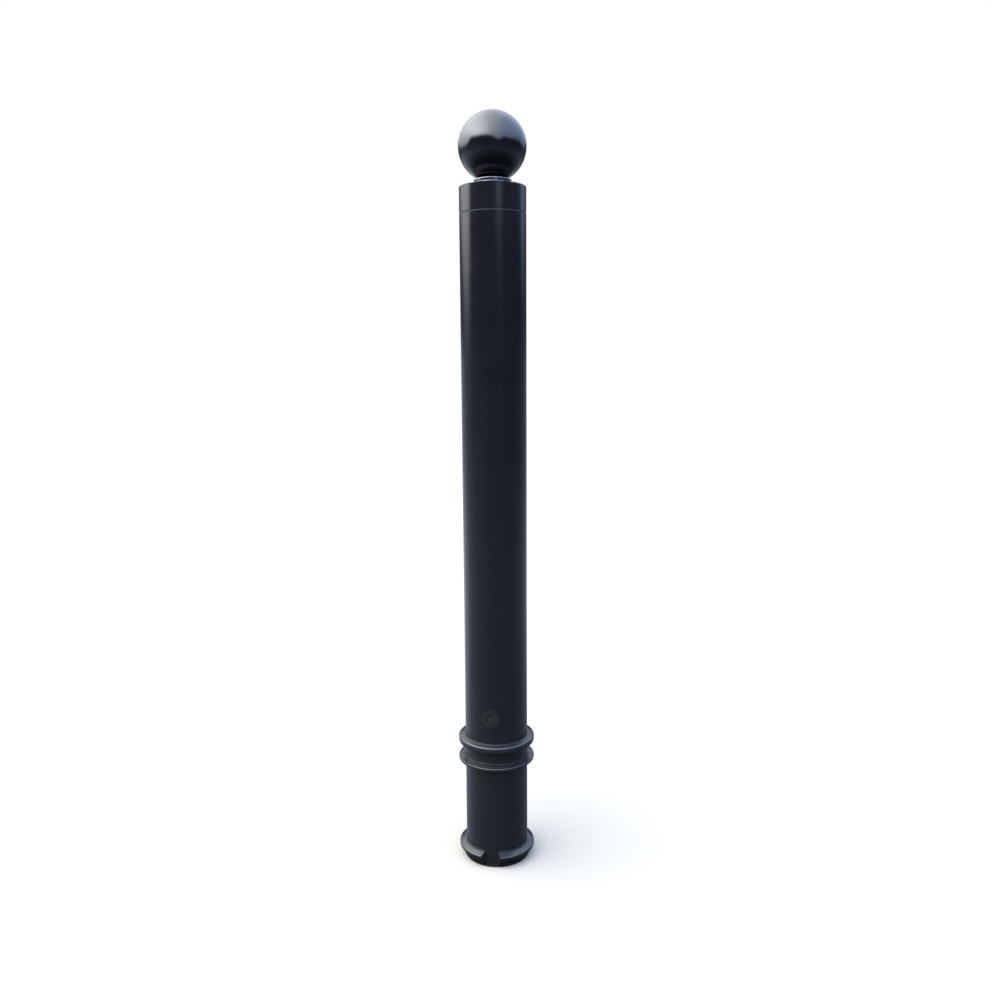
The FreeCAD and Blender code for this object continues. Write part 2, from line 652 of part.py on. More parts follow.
def yoke_screw():
    """Cap screw from below the yoke into the end of the rack."""
    x, y = YOKE_SCREW_X, YOKE_SCREW_Y
    shank = rod_z(2.0, YOKE_Z, RACK_BOTTOM + 11, x, y)
    head = rod_z(3.5, YOKE_Z - 4, YOKE_Z, x, y).cut(rod_z(1.5, YOKE_Z - 5, YOKE_Z - 2, x, y))
    return shank.fuse(head).removeSplitter()


def stadium_xz(x0, z0, x1, z1, radius, y0, y1):
    """Round-ended link between two points of the XZ plane."""
    length = math.hypot(x1 - x0, z1 - z0)
    nx, nz = -(z1 - z0) / length * radius, (x1 - x0) / length * radius
    bar = plate_xz([(x0 + nx, z0 + nz), (x1 + nx, z1 + nz), (x1 - nx, z1 - nz), (x0 - nx, z0 - nz)], y0, y1)
    return bar.fuse([rod_y(radius, y0, y1, z0, x0), rod_y(radius, y0, y1, z1, x1)])


def yoke_leg():
    """Cam plate: its 45 degree slot pushes the latch pin outwards as the yoke goes down."""
    half = LEG_THICK / 2
    end_x, end_z = LATCH_PIN_X + LATCH_TRAVEL, LATCH_Z + LATCH_TRAVEL
    leg = stadium_xz(LATCH_PIN_X, LATCH_Z, end_x, end_z, LEG_ROUND, -half, half)
    web = [(YOKE_BORE_R, RACK_BOTTOM), (YOKE_BORE_R, LATCH_Z + 4), (LATCH_PIN_X, LATCH_Z - 2),
           (end_x, end_z), (end_x - 4, YOKE_Z + 2), (end_x - 12, RACK_BOTTOM)]
    leg = leg.fuse(plate_xz(web, -half, half))
    return leg.cut(stadium_xz(LATCH_PIN_X, LATCH_Z, end_x, end_z, LATCH_PIN_R + 0.2, -half - 1, half + 1))


def latch_yoke():
    """Ring round the strut with a tab under the rack and a cam plate on each side."""
    ring = rod_z(YOKE_BORE_R + 8, YOKE_Z, RACK_BOTTOM)
    tab = block(5, 19, RACK_FRONT_Y, -15, YOKE_Z, RACK_BOTTOM)
    leg = yoke_leg()
    ring = ring.fuse([tab, leg, mirrored(leg)])
    for shape in latch_slots():
        ring = ring.cut(shape)
    ring = ring.cut(rod_z(YOKE_BORE_R, YOKE_Z - 40, YOKE_Z + 20))
    return ring.cut(yoke_screw_shank(2.0, YOKE_Z + 10)).removeSplitter()


def latch_slots():
    """The cam slots again, cut through where the yoke's ring crosses them."""
    half = LEG_THICK / 2
    slot = stadium_xz(LATCH_PIN_X, LATCH_Z, LATCH_PIN_X + LATCH_TRAVEL, LATCH_Z + LATCH_TRAVEL,
                      LATCH_PIN_R + 0.2, -half - 3.5, half + 3.5)
    return [slot, mirrored(slot)]


def latch_bolt():
    """Right-hand bolt: round nose, slit tail that straddles the cam plate, cross hole for its pin."""
    bolt = rod_x(BOLT_R, BOLT_TAIL, BOLT_TIP, LATCH_Z)
    nose = [e for e in bolt.Edges if abs(e.CenterOfMass.x - BOLT_TIP) < 1e-3]
    bolt = bolt.makeChamfer(1.2, nose)
    slit = LEG_THICK / 2 + 0.3
    slit_end = LATCH_PIN_X + BOLT_R + LEG_ROUND * math.sqrt(2) + 0.5
    bolt = bolt.cut(block(BOLT_TAIL - 1, slit_end, -slit, slit, LATCH_Z - 10, LATCH_Z + 10))
    return bolt.cut(rod_y(LATCH_PIN_R, -10, 10, LATCH_Z, LATCH_PIN_X))


def latch_pin():
    return rod_y(LATCH_PIN_R, -4.2, 4.2, LATCH_Z, LATCH_PIN_X)


def bolt_guide():
    """Right-hand bush: flange seated on the bore, nose through the wall, slot for the cam plate."""
    low, high = LATCH_Z - 20, LATCH_Z + 20
    flange = rod_x(BOLT_R + 5, GUIDE_INNER_X, TUBE_R, LATCH_Z).common(rod_z(BORE_R, low, high))
    nose = rod_x(BOLT_R + 2, GUIDE_INNER_X, TUBE_R + 5, LATCH_Z).common(rod_z(TUBE_R - 0.5, low, high))
    guide = flange.fuse(nose).cut(rod_x(BOLT_R + 0.1, GUIDE_INNER_X - 1, TUBE_R + 5, LATCH_Z))
    slit = LEG_THICK / 2 + 0.4
    slit_end = LATCH_PIN_X + LATCH_TRAVEL + LEG_ROUND + 0.5
    return guide.cut(block(GUIDE_INNER_X - 1, slit_end, -slit, slit, low, high)).removeSplitter()


# ---------------------------------------------------------------- the pieces, by name

def collar_pieces():
    pieces = {}
    for collar in COLLARS:
        pieces.update(collar_segments(collar))
    return pieces


def handed_pieces():
    pieces = {}
    right_hand = {"latch_bolt": latch_bolt(), "latch_pin": latch_pin(), "bolt_guide": bolt_guide()}
    for name, shape in right_hand.items():
        pieces[name + "_right"] = shape
        pieces[name + "_left"] = mirrored(shape)
    return pieces


def all_pieces():
    pieces = {
        "post_tube": post_tube(), "foot_boot": foot_boot(), "collar_screws": collar_screws(),
        "head_cap": head_cap(), "cap_gasket": cap_gasket(), "ball_finial": ball_finial(),
        "neck_ring": neck_ring(), "finial_stud": finial_stud(), "strut_bulkhead": strut_bulkhead(),
        "anchor_plate": anchor_plate(),
        "anchor_pin": clevis_pin(LOWER_PIN_Z), "anchor_pin_clip": pin_clip(LOWER_PIN_Z),
        "strut_top_pin": clevis_pin(UPPER_PIN_Z), "strut_top_pin_clip": pin_clip(UPPER_PIN_Z),
        "rod_eye": strut_eye(LOWER_PIN_Z, ROD_BOTTOM - 6, ROD_THREAD_R),
        "strut_top_eye": strut_eye(UPPER_PIN_Z, STRUT_TOP + 6, 0),
        "rod_lock_nut": rod_lock_nut(), "strut_rod": strut_rod(), "strut_piston": strut_piston(),
        "piston_seal": piston_seal(), "piston_nut": piston_nut(), "strut_cylinder": strut_cylinder(),
        "rod_wiper": rod_wiper(), "strut_gland": strut_gland(), "rod_seal": rod_seal(),
        "strut_end_plug": strut_end_plug(),
        "lock_barrel": lock_barrel(), "lock_saddle": lock_saddle(), "lock_case": lock_case(),
        "lock_nut": lock_nut(), "lock_plug": lock_plug(), "lock_pinion": lock_pinion(),
        "pinion_clip": pinion_clip(), "lock_rack": lock_rack(), "yoke_screw": yoke_screw(),
        "latch_yoke": latch_yoke(),
    }
    pieces.update(collar_pieces())
    pieces.update(handed_pieces())
    return pieces


os.makedirs("parts", exist_ok=True)
for node, shape in sorted(all_pieces().items()):
    if not shape.isValid() or shape.Volume <= 0:
        raise ValueError("bad shape: " + node)
    shape.exportStep(os.path.join("parts", node + ".step"))
    print("%-22s solids %2d  volume %10.0f mm3" % (node, len(shape.Solids), shape.Volume))
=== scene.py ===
"""Looks of the rising section of a retractable bollard.

It gives every solid its finish, draws the collars, their screws, the boot and the neck ring as finely as they
are made, and sets the floor, the light and the camera. Metres, +Z up, -Y is the front. The origin is on the
pit floor, on the post's axis.
"""

import math

import bmesh
import bpy
from mathutils import Matrix, Vector


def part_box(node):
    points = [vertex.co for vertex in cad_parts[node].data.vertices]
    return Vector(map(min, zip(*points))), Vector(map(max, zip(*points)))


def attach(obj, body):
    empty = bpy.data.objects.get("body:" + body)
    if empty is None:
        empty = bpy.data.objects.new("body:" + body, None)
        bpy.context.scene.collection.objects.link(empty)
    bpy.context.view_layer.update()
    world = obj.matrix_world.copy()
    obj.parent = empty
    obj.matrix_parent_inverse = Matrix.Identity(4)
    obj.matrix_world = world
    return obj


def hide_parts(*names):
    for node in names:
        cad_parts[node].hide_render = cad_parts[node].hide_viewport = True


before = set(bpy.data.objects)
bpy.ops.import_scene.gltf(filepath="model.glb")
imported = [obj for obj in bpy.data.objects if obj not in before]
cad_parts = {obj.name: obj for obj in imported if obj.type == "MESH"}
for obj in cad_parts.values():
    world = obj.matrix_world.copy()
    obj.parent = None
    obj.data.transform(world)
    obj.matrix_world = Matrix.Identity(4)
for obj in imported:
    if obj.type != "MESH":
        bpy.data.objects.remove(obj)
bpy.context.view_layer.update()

# ---------------------------------------------------------------- post tube and head cap
# The post is 101.6 mm structural steel tube and its cap is a casting. Both are shot-blasted and sprayed
# with a black polyester powder, which is stoved at 190 degrees and flows out to a semi-gloss skin.

def linear(colour):
    """sRGB hex to the linear RGBA that the shaders work in."""
    parts = [int(colour[i:i + 2], 16) / 255 for i in (1, 3, 5)]
    return [c / 12.92 if c <= 0.04045 else ((c + 0.055) / 1.055) ** 2.4 for c in parts] + [1.0]


def empty_material(name):
    material = bpy.data.materials.new(name)
    material.use_nodes = True
    material.node_tree.nodes.clear()
    return material


def add_node(material, kind, inputs, **settings):
    """Adds a node. Settings are its properties; inputs are values, or outputs to link, by socket."""
    node = material.node_tree.nodes.new(kind)
    for name, value in settings.items():
        setattr(node, name, value)
    for socket, value in inputs.items():
        if isinstance(value, bpy.types.NodeSocket):
            material.node_tree.links.new(value, node.inputs[socket])
        else:
            node.inputs[socket].default_value = value
    return node


def dress(material, *names):
    """Gives CAD nodes their finish."""
    for name in names:
        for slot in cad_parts[name].material_slots:
            slot.material = material


MM = 0.001
FACTOR, COLOUR_A, COLOUR_B, MIXED = 0, 6, 7, 2  # sockets of a colour Mix node

COAT_BLACK = "#05070c"
COAT_DUSTY = "#0a0c12"
DUST_CLOUD = 60 * MM
ORANGE_PEEL = 2.2 * MM
ORANGE_PEEL_HEIGHT = 0.004 * MM
RUBBED_BELOW = 160 * MM
CLEAN_ABOVE = 420 * MM
COAT_GLOSS = 0.15
COAT_RUBBED = 0.36
DUST_HAZE = 0.07

# Polyester powder coat, sprayed and stoved: a deep blue-black with a soft gloss, a faint orange peel in
# its reflections, a thin uneven film of dust, and a duller lower end, which slides in the casing.
powder_coat = empty_material("polyester_powder_coat_stoved")
place = add_node(powder_coat, "ShaderNodeTexCoord", {}).outputs["Object"]
height = add_node(powder_coat, "ShaderNodeSeparateXYZ", {"Vector": place}).outputs["Z"]
dust = add_node(powder_coat, "ShaderNodeTexNoise", {"Vector": place, "Scale": 1 / DUST_CLOUD, "Detail": 8.0,
                                                    "Roughness": 0.65})
colour = add_node(powder_coat, "ShaderNodeMix", {
    FACTOR: dust.outputs["Fac"], COLOUR_A: linear(COAT_BLACK), COLOUR_B: linear(COAT_DUSTY),
}, data_type="RGBA")
gloss = add_node(powder_coat, "ShaderNodeMapRange", {
    "Value": height, "From Min": RUBBED_BELOW, "From Max": CLEAN_ABOVE,
    "To Min": COAT_RUBBED, "To Max": COAT_GLOSS,
})
hazed = add_node(powder_coat, "ShaderNodeMath", {
    0: dust.outputs["Fac"], 1: DUST_HAZE, 2: gloss.outputs["Result"],
}, operation="MULTIPLY_ADD")
peel = add_node(powder_coat, "ShaderNodeTexNoise", {"Vector": place, "Scale": 1 / ORANGE_PEEL, "Detail": 2.0})
relief = add_node(powder_coat, "ShaderNodeBump", {
    "Height": peel.outputs["Fac"], "Distance": ORANGE_PEEL_HEIGHT, "Strength": 1.0,
})
shader = add_node(powder_coat, "ShaderNodeBsdfPrincipled", {
    "Base Color": colour.outputs[MIXED], "Roughness": hazed.outputs["Value"], "IOR": 1.5,
    "Normal": relief.outputs["Normal"],
})
add_node(powder_coat, "ShaderNodeOutputMaterial", {"Surface": shader.outputs["BSDF"]})
dress(powder_coat, "post_tube", "head_cap")

# ---------------------------------------------------------------- plated steel fittings
# The floor plate, bulkhead, eyes, pins, nuts and the lock's pinion, rack and yoke are mild steel,
# laser-cut, turned or hobbed, then barrel zinc-plated and passivated.

ZINC = "#aab0b6"
ZINC_STAIN = "#8f8d80"
ZINC_CLOUD = 9 * MM
ZINC_GRAIN = 0.6 * MM
ZINC_GRAIN_HEIGHT = 0.01 * MM

# Zinc plate over steel, barrel-plated: a pale grey metal, clouded and slightly yellowed by its passivate,
# with the fine tumbled grain of the barrel.
zinc_plate = empty_material("zinc_barrel_plated")
place = add_node(zinc_plate, "ShaderNodeTexCoord", {}).outputs["Object"]
cloud = add_node(zinc_plate, "ShaderNodeTexNoise", {"Vector": place, "Scale": 1 / ZINC_CLOUD, "Detail": 6.0})
colour = add_node(zinc_plate, "ShaderNodeMix", {
    FACTOR: cloud.outputs["Fac"], COLOUR_A: linear(ZINC), COLOUR_B: linear(ZINC_STAIN),
}, data_type="RGBA")
worn = add_node(zinc_plate, "ShaderNodeMapRange", {
    "Value": cloud.outputs["Fac"], "To Min": 0.26, "To Max": 0.48,
})
grain = add_node(zinc_plate, "ShaderNodeTexNoise", {"Vector": place, "Scale": 1 / ZINC_GRAIN, "Detail": 2.0})
relief = add_node(zinc_plate, "ShaderNodeBump", {
    "Height": grain.outputs["Fac"], "Distance": ZINC_GRAIN_HEIGHT, "Strength": 1.0,
})
shader = add_node(zinc_plate, "ShaderNodeBsdfPrincipled", {
    "Base Color": colour.outputs[MIXED], "Roughness": worn.outputs["Result"], "Metallic": 1.0,
    "Normal": relief.outputs["Normal"],
})
add_node(zinc_plate, "ShaderNodeOutputMaterial", {"Surface": shader.outputs["BSDF"]})
dress(zinc_plate, "anchor_plate", "anchor_pin", "rod_eye", "rod_lock_nut", "piston_nut", "strut_top_eye",
      "strut_top_pin", "strut_bulkhead", "finial_stud", "lock_pinion", "lock_rack", "latch_yoke",
      "latch_pin_left", "latch_pin_right")

# ---------------------------------------------------------------- blackened steel clips and screws
# Retaining clips are stamped from spring steel and the small screws are cold-headed. All are heat-treated
# and blackened in a hot alkaline bath, then oiled.

OXIDE = "#1b1c1f"
OXIDE_WORN = "#33343a"
OXIDE_PATCH = 2.5 * MM

# Black oxide on steel, oiled: nearly black with a low oily sheen, paler where handling has rubbed it.
black_oxide = empty_material("steel_black_oxide_oiled")
place = add_node(black_oxide, "ShaderNodeTexCoord", {}).outputs["Object"]
patch = add_node(black_oxide, "ShaderNodeTexNoise", {
    "Vector": place, "Scale": 1 / OXIDE_PATCH, "Detail": 5.0,
})
colour = add_node(black_oxide, "ShaderNodeMix", {
    FACTOR: patch.outputs["Fac"], COLOUR_A: linear(OXIDE), COLOUR_B: linear(OXIDE_WORN),
}, data_type="RGBA")
oiled = add_node(black_oxide, "ShaderNodeMapRange", {
    "Value": patch.outputs["Fac"], "To Min": 0.25, "To Max": 0.45,
})
shader = add_node(black_oxide, "ShaderNodeBsdfPrincipled", {
    "Base Color": colour.outputs[MIXED], "Roughness": oiled.outputs["Result"], "Metallic": 0.8,
})
add_node(black_oxide, "ShaderNodeOutputMaterial", {"Surface": shader.outputs["BSDF"]})
dress(black_oxide, "anchor_pin_clip", "strut_top_pin_clip", "pinion_clip", "yoke_screw", "collar_screws")

# ---------------------------------------------------------------- gas strut
# The strut's rod is ground and hard-chromed steel; its piston is turned aluminium on the rod's end. The
# cylinder is drawn steel tube in black lacquer, with a plug welded into its top.

CHROME = "#c9ccd1"
GRINDING_LINE = 0.8 * MM  # real lines are about 0.02 mm apart, drawn coarser so that they show

# Hard chrome on ground steel: a bright, faintly blue mirror with fine rings round it from the grinding.
hard_chrome = empty_material("hard_chrome_ground")
place = add_node(hard_chrome, "ShaderNodeTexCoord", {}).outputs["Object"]
rings = add_node(hard_chrome, "ShaderNodeTexWave", {
    "Vector": place, "Scale": 1 / (20 * GRINDING_LINE), "Distortion": 1.5, "Detail": 3.0,
}, wave_type="BANDS", bands_direction="Z")
polish = add_node(hard_chrome, "ShaderNodeMapRange", {
    "Value": rings.outputs["Fac"], "To Min": 0.06, "To Max": 0.16,
})
shader = add_node(hard_chrome, "ShaderNodeBsdfPrincipled", {
    "Base Color": linear(CHROME), "Roughness": polish.outputs["Result"], "Metallic": 1.0,
})
add_node(hard_chrome, "ShaderNodeOutputMaterial", {"Surface": shader.outputs["BSDF"]})
dress(hard_chrome, "strut_rod")

ALLOY = "#b4b7ba"
TURNING_FEED = 0.3 * MM
FEED_HEIGHT = 0.01 * MM

# Aluminium alloy, turned: dull silver with the lathe's feed marks.
turned_alloy = empty_material("aluminium_turned")
place = add_node(turned_alloy, "ShaderNodeTexCoord", {}).outputs["Object"]
feed = add_node(turned_alloy, "ShaderNodeTexWave", {
    "Vector": place, "Scale": 1 / (20 * TURNING_FEED), "Distortion": 0.2,
}, wave_type="BANDS", bands_direction="Z")
relief = add_node(turned_alloy, "ShaderNodeBump", {
    "Height": feed.outputs["Fac"], "Distance": FEED_HEIGHT, "Strength": 1.0,
})
shader = add_node(turned_alloy, "ShaderNodeBsdfPrincipled", {
    "Base Color": linear(ALLOY), "Roughness": 0.32, "Metallic": 1.0, "Normal": relief.outputs["Normal"],
})
add_node(turned_alloy, "ShaderNodeOutputMaterial", {"Surface": shader.outputs["BSDF"]})
dress(turned_alloy, "strut_piston")

LACQUER = "#15171a"
LACQUER_SCUFF = "#26282c"
SCUFF = 14 * MM

# Black acrylic lacquer on drawn tube: an even satin, with long faint scuffs from fitting.
strut_lacquer = empty_material("acrylic_lacquer_sprayed")
place = add_node(strut_lacquer, "ShaderNodeTexCoord", {}).outputs["Object"]
stretched = add_node(strut_lacquer, "ShaderNodeMapping", {"Vector": place, "Scale": (1.0, 1.0, 0.08)})
scuffs = add_node(strut_lacquer, "ShaderNodeTexNoise", {
    "Vector": stretched.outputs["Vector"], "Scale": 1 / SCUFF, "Detail": 7.0,
})
colour = add_node(strut_lacquer, "ShaderNodeMix", {
    FACTOR: scuffs.outputs["Fac"], COLOUR_A: linear(LACQUER), COLOUR_B: linear(LACQUER_SCUFF),
}, data_type="RGBA")
satin = add_node(strut_lacquer, "ShaderNodeMapRange", {
    "Value": scuffs.outputs["Fac"], "To Min": 0.25, "To Max": 0.5,
})
shader = add_node(strut_lacquer, "ShaderNodeBsdfPrincipled", {
    "Base Color": colour.outputs[MIXED], "Roughness": satin.outputs["Result"], "IOR": 1.49,
})
add_node(strut_lacquer, "ShaderNodeOutputMaterial", {"Surface": shader.outputs["BSDF"]})
dress(strut_lacquer, "strut_cylinder", "strut_end_plug")

# Seals are moulded nitrile rubber rings, pressed into their grooves.

NITRILE = "#101011"
NITRILE_BLOOM = "#1d1d1e"
BLOOM = 1.5 * MM

# Nitrile rubber, moulded: soft black with a faint grey bloom.
nitrile = empty_material("nitrile_rubber_moulded")
place = add_node(nitrile, "ShaderNodeTexCoord", {}).outputs["Object"]
bloom = add_node(nitrile, "ShaderNodeTexNoise", {"Vector": place, "Scale": 1 / BLOOM, "Detail": 4.0})
colour = add_node(nitrile, "ShaderNodeMix", {
    FACTOR: bloom.outputs["Fac"], COLOUR_A: linear(NITRILE), COLOUR_B: linear(NITRILE_BLOOM),
}, data_type="RGBA")
shader = add_node(nitrile, "ShaderNodeBsdfPrincipled", {
    "Base Color": colour.outputs[MIXED], "Roughness": 0.62, "IOR": 1.52,
})
add_node(nitrile, "ShaderNodeOutputMaterial", {"Surface": shader.outputs["BSDF"]})
dress(nitrile, "piston_seal", "rod_seal", "rod_wiper")

# The rod's guide in the strut and the two bushes for the latch bolts are sintered bronze, pressed in.

BRONZE = "#8f6a44"
BRONZE_PORE = "#5c4630"
PORE = 0.5 * MM
PORE_DEPTH = 0.03 * MM

# Sintered bronze, pressed and oiled: a brown metal, matt and peppered with dark pores that hold oil.
bronze = empty_material("bronze_sintered_oiled")
place = add_node(bronze, "ShaderNodeTexCoord", {}).outputs["Object"]
pores = add_node(bronze, "ShaderNodeTexVoronoi", {"Vector": place, "Scale": 1 / PORE})
colour = add_node(bronze, "ShaderNodeMix", {
    FACTOR: pores.outputs["Distance"], COLOUR_A: linear(BRONZE_PORE), COLOUR_B: linear(BRONZE),
}, data_type="RGBA")
relief = add_node(bronze, "ShaderNodeBump", {
    "Height": pores.outputs["Distance"], "Distance": PORE_DEPTH, "Strength": 0.6,
})
shader = add_node(bronze, "ShaderNodeBsdfPrincipled", {
    "Base Color": colour.outputs[MIXED], "Roughness": 0.42, "Metallic": 1.0,
    "Normal": relief.outputs["Normal"],
})
add_node(bronze, "ShaderNodeOutputMaterial", {"Surface": shader.outputs["BSDF"]})
dress(bronze, "strut_gland", "bolt_guide_left", "bolt_guide_right")

# ---------------------------------------------------------------- lock and latch
# The barrel goes through the tube's wall from the front. A zinc die-cast saddle and case are clamped on it
# inside by a brass ring nut, and a brass plug turns in it.

BARREL_BLACK = "#080a0d"
BARREL_RUBBED = "#12161a"
BARREL_WEAR = 5 * MM

# Cathodic epoxy paint on steel, dipped: an even dull black, a shade greyer where keys have rubbed it.
epoxy_dip = empty_material("epoxy_dip_coat")
place = add_node(epoxy_dip, "ShaderNodeTexCoord", {}).outputs["Object"]
wear = add_node(epoxy_dip, "ShaderNodeTexNoise", {"Vector": place, "Scale": 1 / BARREL_WEAR, "Detail": 6.0})
colour = add_node(epoxy_dip, "ShaderNodeMix", {
    FACTOR: wear.outputs["Fac"], COLOUR_A: linear(BARREL_BLACK), COLOUR_B: linear(BARREL_RUBBED),
}, data_type="RGBA")
dulled = add_node(epoxy_dip, "ShaderNodeMapRange", {
    "Value": wear.outputs["Fac"], "To Min": 0.28, "To Max": 0.46,
})
shader = add_node(epoxy_dip, "ShaderNodeBsdfPrincipled", {
    "Base Color": colour.outputs[MIXED], "Roughness": dulled.outputs["Result"], "IOR": 1.5,
})
add_node(epoxy_dip, "ShaderNodeOutputMaterial", {"Surface": shader.outputs["BSDF"]})
dress(epoxy_dip, "lock_barrel")

CAST_ZINC = "#8b8f94"
CAST_FLOW = "#74777b"
FLOW_MARK = 12 * MM
CAST_SKIN = 0.8 * MM
CAST_PIT_DEPTH = 0.02 * MM

# Zinc alloy, die-cast: a dull grey metal with soft flow marks and a slightly pitted skin.
die_cast = empty_material("zinc_alloy_die_cast")
place = add_node(die_cast, "ShaderNodeTexCoord", {}).outputs["Object"]
flow = add_node(die_cast, "ShaderNodeTexNoise", {"Vector": place, "Scale": 1 / FLOW_MARK, "Detail": 3.0,
                                                 "Distortion": 1.2})
colour = add_node(die_cast, "ShaderNodeMix", {
    FACTOR: flow.outputs["Fac"], COLOUR_A: linear(CAST_ZINC), COLOUR_B: linear(CAST_FLOW),
}, data_type="RGBA")
skin = add_node(die_cast, "ShaderNodeTexNoise", {"Vector": place, "Scale": 1 / CAST_SKIN, "Detail": 3.0})
relief = add_node(die_cast, "ShaderNodeBump", {
    "Height": skin.outputs["Fac"], "Distance": CAST_PIT_DEPTH, "Strength": 1.0,
})
shader = add_node(die_cast, "ShaderNodeBsdfPrincipled", {
    "Base Color": colour.outputs[MIXED], "Roughness": 0.5, "Metallic": 1.0,
    "Normal": relief.outputs["Normal"],
})
add_node(die_cast, "ShaderNodeOutputMaterial", {"Surface": shader.outputs["BSDF"]})
dress(die_cast, "lock_saddle", "lock_case")

BRASS = "#b9974f"
BRASS_TARNISH = "#7d6a3e"
TARNISH = 3 * MM

# Brass, turned: yellow metal with brown tarnish in patches.
brass = empty_material("brass_turned")
place = add_node(brass, "ShaderNodeTexCoord", {}).outputs["Object"]
tarnish = add_node(brass, "ShaderNodeTexNoise", {"Vector": place, "Scale": 1 / TARNISH, "Detail": 6.0})
colour = add_node(brass, "ShaderNodeMix", {
    FACTOR: tarnish.outputs["Fac"], COLOUR_A: linear(BRASS), COLOUR_B: linear(BRASS_TARNISH),
}, data_type="RGBA")
dulled = add_node(brass, "ShaderNodeMapRange", {
    "Value": tarnish.outputs["Fac"], "To Min": 0.2, "To Max": 0.45,
})
shader = add_node(brass, "ShaderNodeBsdfPrincipled", {
    "Base Color": colour.outputs[MIXED], "Roughness": dulled.outputs["Result"], "Metallic": 1.0,
})
add_node(brass, "ShaderNodeOutputMaterial", {"Surface": shader.outputs["BSDF"]})
dress(brass, "lock_nut")

# The plug's two colours are painted paler than blackened brass, as a painted fill standing in for light in
# the shaded recess of the barrel.
PLUG_PAINTED_FILL_GREY = "#4b4e54"
PLUG_WORN_WITH_PAINTED_FILL = "#67645c"
PLUG_WEAR = 2 * MM

# Brass, chemically darkened: the plug's face is painted a paler grey than the metal is, a painted fill light
# that lifts the shade in the barrel's recess, and browner where the key has worn its stud.
plug_brass_painted_fill = empty_material("brass_blackened_painted_fill")
place = add_node(plug_brass_painted_fill, "ShaderNodeTexCoord", {}).outputs["Object"]
wear = add_node(plug_brass_painted_fill, "ShaderNodeTexNoise", {"Vector": place, "Scale": 1 / PLUG_WEAR, "Detail": 6.0})
colour = add_node(plug_brass_painted_fill, "ShaderNodeMix", {
    FACTOR: wear.outputs["Fac"], COLOUR_A: linear(PLUG_PAINTED_FILL_GREY), COLOUR_B: linear(PLUG_WORN_WITH_PAINTED_FILL),
}, data_type="RGBA")
dulled = add_node(plug_brass_painted_fill, "ShaderNodeMapRange", {
    "Value": wear.outputs["Fac"], "To Min": 0.3, "To Max": 0.5,
})
shader = add_node(plug_brass_painted_fill, "ShaderNodeBsdfPrincipled", {
    "Base Color": colour.outputs[MIXED], "Roughness": dulled.outputs["Result"], "Metallic": 1.0,
})
add_node(plug_brass_painted_fill, "ShaderNodeOutputMaterial", {"Surface": shader.outputs["BSDF"]})
dress(plug_brass_painted_fill, "lock_plug")

BOLT_STEEL = "#9a9ca0"
BOLT_GREASE = "#7b776c"
SLIDE_MARK = 3 * MM

# Steel bar, ground and greased: bright grey, streaked along the way that it slides.
ground_steel = empty_material("steel_bar_ground")
place = add_node(ground_steel, "ShaderNodeTexCoord", {}).outputs["Object"]
drawn_out = add_node(ground_steel, "ShaderNodeMapping", {"Vector": place, "Scale": (0.1, 1.0, 1.0)})
streaks = add_node(ground_steel, "ShaderNodeTexNoise", {
    "Vector": drawn_out.outputs["Vector"], "Scale": 1 / SLIDE_MARK, "Detail": 8.0,
})
colour = add_node(ground_steel, "ShaderNodeMix", {
    FACTOR: streaks.outputs["Fac"], COLOUR_A: linear(BOLT_STEEL), COLOUR_B: linear(BOLT_GREASE),
}, data_type="RGBA")
greased = add_node(ground_steel, "ShaderNodeMapRange", {
    "Value": streaks.outputs["Fac"], "To Min": 0.14, "To Max": 0.38,
})
shader = add_node(ground_steel, "ShaderNodeBsdfPrincipled", {
    "Base Color": colour.outputs[MIXED], "Roughness": greased.outputs["Result"], "Metallic": 1.0,
})
add_node(ground_steel, "ShaderNodeOutputMaterial", {"Surface": shader.outputs["BSDF"]})
dress(ground_steel, "latch_bolt_left", "latch_bolt_right")

# ---------------------------------------------------------------- guide collars
# Each collar is turned and milled from cast nylon, in segments that are set round the tube and held by
# headless screws. They run in the casing and keep the post upright.

NYLON = "#0a0c0f"
NYLON_SCUFF = "#15181d"
NYLON_PATCH = 18 * MM
TOOL_MARK = 0.9 * MM
TOOL_MARK_HEIGHT = 0.01 * MM

# Cast nylon, turned: a blue-black plastic with a waxy sheen, paler where it has rubbed on the casing,
# with fine turning rings on its faces.
nylon = empty_material("nylon_cast_turned")
place = add_node(nylon, "ShaderNodeTexCoord", {}).outputs["Object"]
rubbed = add_node(nylon, "ShaderNodeTexNoise", {"Vector": place, "Scale": 1 / NYLON_PATCH, "Detail": 9.0,
                                                "Roughness": 0.7})
colour = add_node(nylon, "ShaderNodeMix", {
    FACTOR: rubbed.outputs["Fac"], COLOUR_A: linear(NYLON), COLOUR_B: linear(NYLON_SCUFF),
}, data_type="RGBA")
waxy = add_node(nylon, "ShaderNodeMapRange", {"Value": rubbed.outputs["Fac"], "To Min": 0.2, "To Max": 0.34})
tool = add_node(nylon, "ShaderNodeTexWave", {
    "Vector": place, "Scale": 1 / (20 * TOOL_MARK), "Distortion": 0.3,
}, wave_type="RINGS", rings_direction="Z")
relief = add_node(nylon, "ShaderNodeBump", {
    "Height": tool.outputs["Fac"], "Distance": TOOL_MARK_HEIGHT, "Strength": 1.0,
})
shader = add_node(nylon, "ShaderNodeBsdfPrincipled", {
    "Base Color": colour.outputs[MIXED], "Roughness": waxy.outputs["Result"], "IOR": 1.53,
    "Normal": relief.outputs["Normal"],
})
add_node(nylon, "ShaderNodeOutputMaterial", {"Surface": shader.outputs["BSDF"]})
dress(nylon, "foot_collar_front_left", "foot_collar_front_right", "foot_collar_rear", "lower_collar_front",
      "lower_collar_rear", "upper_collar_front", "upper_collar_rear")

# Each collar as it is milled: a low hub round the tube, a top face that falls from it to the rim with
# grit channels in it, and a flat wall. The foot collar and the lower one stand low on the tube.

